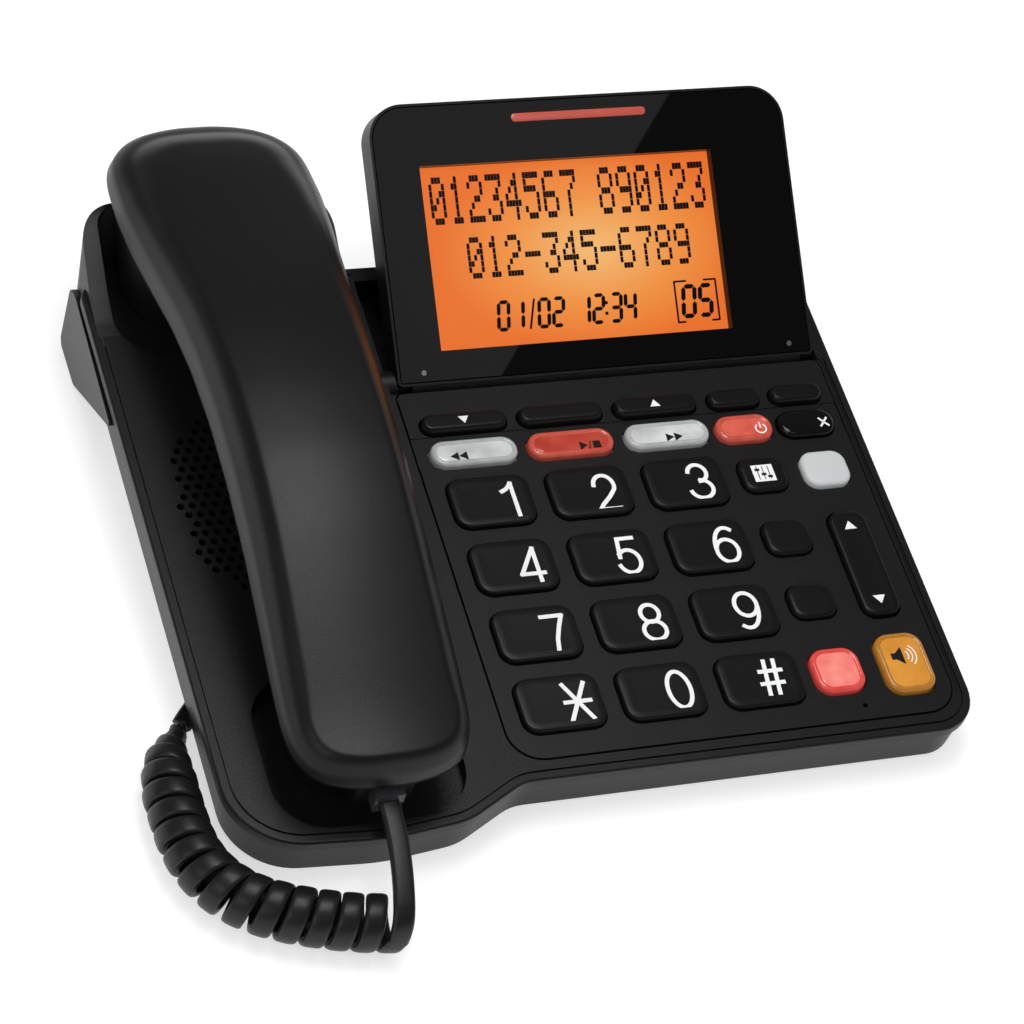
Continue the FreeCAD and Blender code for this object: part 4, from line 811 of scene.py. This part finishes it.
glyphs = {"0": "01110 10001 10011 10101 11001 10001 01110", "1": "00100 01100 00100 00100 00100 00100 01110",
          "2": "01110 10001 00001 00110 01000 10000 11111", "3": "11111 00001 00010 00110 00001 10001 01110",
          "4": "00010 00110 01010 10010 11111 00010 00010", "5": "11111 10000 11110 00001 00001 10001 01110",
          "6": "01110 10000 10000 11110 10001 10001 01110", "7": "11111 00001 00010 00100 00100 00100 00100",
          "8": "01110 10001 10001 01110 10001 10001 01110", "9": "01110 10001 10001 01111 00001 00001 01110",
          "-": "00000 00000 00000 11111 00000 00000 00000", " ": "00000 00000 00000 00000 00000 00000 00000"}
segmentsOf = {"0": "abcdef", "1": "bc", "2": "abged", "3": "abgcd", "4": "fgbc", "5": "afgcd", "6": "afgedc",
              "7": "abc", "8": "abcdefg", "9": "abcdfg"}


# the part of a letter's pitch that its dots fill, a dot's part of its cell, and the gap between rows
dotMatrix = {"fill": 0.82, "wide": 0.94, "gap": 0.12}
# seven-segment digits: how much the bars' ends stand back, and the lean
segments = {"short": 0.10, "lean": 0.10}


def dotRows(text, left, right, low, high):
    # Cells of a dot-matrix line, 5 dots wide and 7 tall: one small square for each lit dot.
    pitch = (right - left) / (len(text) - 1 + dotMatrix["fill"])
    cellWidth, cellHeight = pitch * dotMatrix["fill"] / 5, (high - low) / 7
    wide = cellWidth * dotMatrix["wide"]
    squares = []
    for index, letter in enumerate(text):
        for row, bits in enumerate(glyphs[letter].split()):
            for column, bit in enumerate(bits):
                if bit == "1":
                    x = left + index * pitch + column * cellWidth
                    y = high - (row + 1) * cellHeight
                    foot, top = y + dotMatrix["gap"], y + cellHeight
                    squares.append([(x, foot), (x + wide, foot), (x + wide, top), (x, top)])
    return squares


def segmentDigit(digit, x, y, width, height, stroke):
    # Seven-segment digit, leaning slightly, with its lower left corner at x, y.
    half = height / 2
    ends = {"a": (0, height, width, height), "b": (width, half, width, height), "c": (width, 0, width, half),
            "d": (0, 0, width, 0), "e": (0, 0, 0, half), "f": (0, half, 0, height), "g": (0, half, width, half)}
    shapes = []
    for name in segmentsOf[digit]:
        x0, y0, x1, y1 = ends[name]
        way = np.array([x1 - x0, y1 - y0]) / math.hypot(x1 - x0, y1 - y0)
        out = np.array([-way[1], way[0]]) * stroke / 2
        start, end = np.array([x0, y0]) + way * segments["short"], np.array([x1, y1]) - way * segments["short"]
        inner, outer = start + way * stroke / 2, end - way * stroke / 2
        shape = np.array([start, inner - out, outer - out, end, outer + out, inner + out])
        shapes.append(np.column_stack([x + shape[:, 0] + segments["lean"] * shape[:, 1], y + shape[:, 1]]))
    return shapes


readout = {
    # dot-matrix lines with their left, right, lower and upper edge
    "lines": [("01234567 890123", -8, 74.3, 44.2, 57.6), ("012-345-6789", 1, 67.6, 28.6, 40.3)],
    # pairs of digits: text, x, y, pitch, and width, height and stroke of a digit
    "pairs": [("01", 7.6, 14, 4.3, (2.9, 7.6, 1.1)), ("02", 19.6, 14, 4.3, (2.9, 7.6, 1.1)),
              ("12", 31.6, 14, 4.3, (2.9, 7.6, 1.1)), ("34", 41.2, 14, 4.3, (2.9, 7.6, 1.1)),
              ("05", 63.1, 13.8, 5.1, (3.4, 8.4, 1.3))],
    # the slash, the colon's dots and the frame round the last pair: ends and width of each stroke
    "strokes": [(16.9, 13.6, 18.9, 22, 0.6), (40, 15.9, 40, 16.8, 0.9), (40.2, 18.9, 40.2, 19.8, 0.9),
                (61.3, 12.2, 61.3, 23.8, 0.55), (61.1, 12.2, 63.6, 12.2, 0.55), (61.1, 23.8, 65, 23.8, 0.55),
                (73.9, 12.2, 73.9, 23.8, 0.55), (71.6, 12.2, 74.1, 12.2, 0.55), (70.2, 23.8, 74.1, 23.8, 0.55)],
    "over": 0.02, "depth": 0.06}


def addReadout(r):
    shapes = [square for line in r["lines"] for square in dotRows(*line)]
    for text, x, y, pitch, size in r["pairs"]:
        for i, digit in enumerate(text):
            shapes += segmentDigit(digit, x + pitch * i, y, *size)
    shapes += [bar(*stroke) for stroke in r["strokes"]]
    made = marks("lcdReadout", shapes, r["over"] - display["panelDepth"], displayFrame, "segmentBlack", "display",
                 depth=r["depth"])


addDisplay(display)
addPanel(display)
addReadout(readout)
print("display made")

# finishes of the pieces that stay as they are in the frame
nodeFinish = {"housing_black": "mouldedAbs", "handset_black": "handsetAbs", "faceplate_black": "mouldedAbs",
              "key_black": "keyAbs", "key_gloss_black": "polishedAbs", "key_clear_silver": "clearSilver",
              "key_clear_red": "clearRed", "key_light_grey": "keyWhite", "key_amber": "clearAmber",
              "bezel_black": "mouldedAbs", "lens_smoke": "printedAcrylic", "lcd_amber": "backlightWhite",
              "backlight_white": "backlightWhite", "light_dark": "lightBar", "silicone_grey": "siliconeGrey",
              "board_green": "boardGreen", "speaker_steel": "paintedSteel", "screw_steel": "platedSteel",
              "jack_black": "keyAbs", "foot_rubber": "footRubber", "cord_vinyl": "cordVinyl",
              "plug_clear": "plugClear"}
for node, piece in frame["nodes"].items():
    for meshSlot in piece.material_slots:
        meshSlot.material = materials[nodeFinish[recordSlot[node]]]
print("nodes finished")


# floor, light and background
studio = {"floor": "#c3c3c3", "floorHalf": 4.0, "floorLift": 0.58, "ambient": 0.65, "sky": 0.13,
          "skyEdge": (0.04, 0.24),
          # size in metres, power in watts, place and aim in the deck's frame
          "softbox": {"size": (0.25, 0.35), "power": 1.7, "at": (-20.0, 185.0, 600.0), "aim": (-66.0, 55.0, 30.0)},
          # the same, with place and aim in metres in the world
          "fill": {"size": (0.8, 0.5), "power": 2.0, "at": (-0.9, -0.5, 0.8), "aim": (0.0, 0.0, 0.0)}}
# a pale card that the lens mirrors to the left of a slanting line, given as points on the lens
paleCard = {"edge": ((75.3, 89.0), (-4.1, -11.2)), "left": -60.0, "away": 0.55, "glow": 0.9}


def addSheet(name, points, material):
    # one stage quad from world points in metres
    mesh = bpy.data.meshes.new(name)
    mesh.from_pydata(points, [], [(0, 1, 2, 3)])
    mesh.materials.append(material)
    sheet = addObject(name, mesh)
    return sheet


def addCard(c):
    # the camera's mirror image behind the lens throws the outline on the lens out to where the card stands
    eye = np.linalg.inv(displayFrame) @ np.append(np.array(bpy.context.scene.camera.location) * 1000, 1.0)
    image = eye[:3] * (1, 1, -1)
    (x1, y1), (x0, y0) = c["edge"]
    corners = np.array([(x0, y0, 0), (c["left"], y0, 0), (c["left"], y1, 0), (x1, y1, 0)], float)
    outline = image + (corners - image) * (1 + c["away"])
    paint, tree = newMaterial("paleCard")
    addOutput(tree, addNode(tree, "Emission", {"Strength": c["glow"]}))
    card = addSheet("card", place(outline, displayFrame).tolist(), paint)
    card.visible_camera = card.visible_diffuse = card.visible_shadow = card.visible_transmission = False


def higher(tree, a, b):
    return addNode(tree, "Math", {"operation": "MAXIMUM"}, {0: a, 1: b})


def addFloor(s):
    # the camera and reflections see the paper lifted towards white, with its shadow kept
    paper, tree = newMaterial("paperSweep")
    plain = addNode(tree, "BsdfDiffuse", {"Color": linear(s["floor"])})
    glow = addNode(tree, "Emission", {"Color": linear("#ffffff"), "Strength": s["floorLift"]})
    rays = addNode(tree, "LightPath").outputs
    seen = higher(tree, higher(tree, rays["Is Camera Ray"], rays["Is Glossy Ray"]), rays["Is Transmission Ray"])
    dark = addNode(tree, "Emission", {"Color": linear("#000000"), "Strength": 0.0})
    lift = addNode(tree, "MixShader", {}, {0: seen, 1: dark, 2: glow})
    addOutput(tree, addNode(tree, "AddShader", {}, {0: plain, 1: lift}))
    half = s["floorHalf"]
    addSheet("floor", [(-half, -half, 0), (half, -half, 0), (half, half, 0), (-half, half, 0)], paper)


def addWorld(s):
    # white where it is seen; in reflections white near the floor and dim overhead, as in a dark studio
    world = bpy.data.worlds.new("studio")
    bpy.context.scene.world = world
    world.use_nodes = True
    tree = world.node_tree
    tree.nodes.clear()
    way = addNode(tree, "SeparateXYZ", {}, {0: addNode(tree, "TexCoord").outputs["Generated"]})
    low, high = s["skyEdge"]
    mirrored = addNode(tree, "MapRange", {"From Min": low, "From Max": high, "To Min": 1.0,
                                                    "To Max": s["sky"]}, {"Value": way.outputs["Z"]})
    rays = addNode(tree, "LightPath").outputs
    level = addNode(tree, "Mix", {"data_type": "FLOAT", 2: s["ambient"]},
                    {0: rays["Is Glossy Ray"], 3: mirrored})
    level = addNode(tree, "Mix", {"data_type": "FLOAT", 3: 1.0},
                    {0: higher(tree, rays["Is Camera Ray"], rays["Is Transmission Ray"]), 2: level})
    back = addNode(tree, "Background", {"Color": linear("#ffffff")}, {"Strength": level})
    addOutput(tree, back, "OutputWorld")


def addLamp(name, settings, at, aim):
    lamp = bpy.data.lights.new(name, "AREA")
    lamp.shape = "RECTANGLE"
    lamp.size, lamp.size_y = settings["size"]
    lamp.energy = settings["power"]
    back = unit(at - aim)
    right = unit(np.cross((0, 0, 1.0), back))
    matrix = np.eye(4)
    matrix[:3, :3] = np.column_stack([right, np.cross(back, right), back])
    matrix[:3, 3] = at
    addObject(name, lamp).matrix_world = Matrix(matrix.tolist())


def addStudio(s):
    addFloor(s)
    addWorld(s)
    addLamp("softbox", s["softbox"], place(s["softbox"]["at"], deckFrame), place(s["softbox"]["aim"], deckFrame))
    addLamp("fill", s["fill"], np.array(s["fill"]["at"]), np.array(s["fill"]["aim"]))
    addCard(paleCard)


addStudio(studio)
bpy.context.scene.view_settings.view_transform = "Standard"
print("studio made")
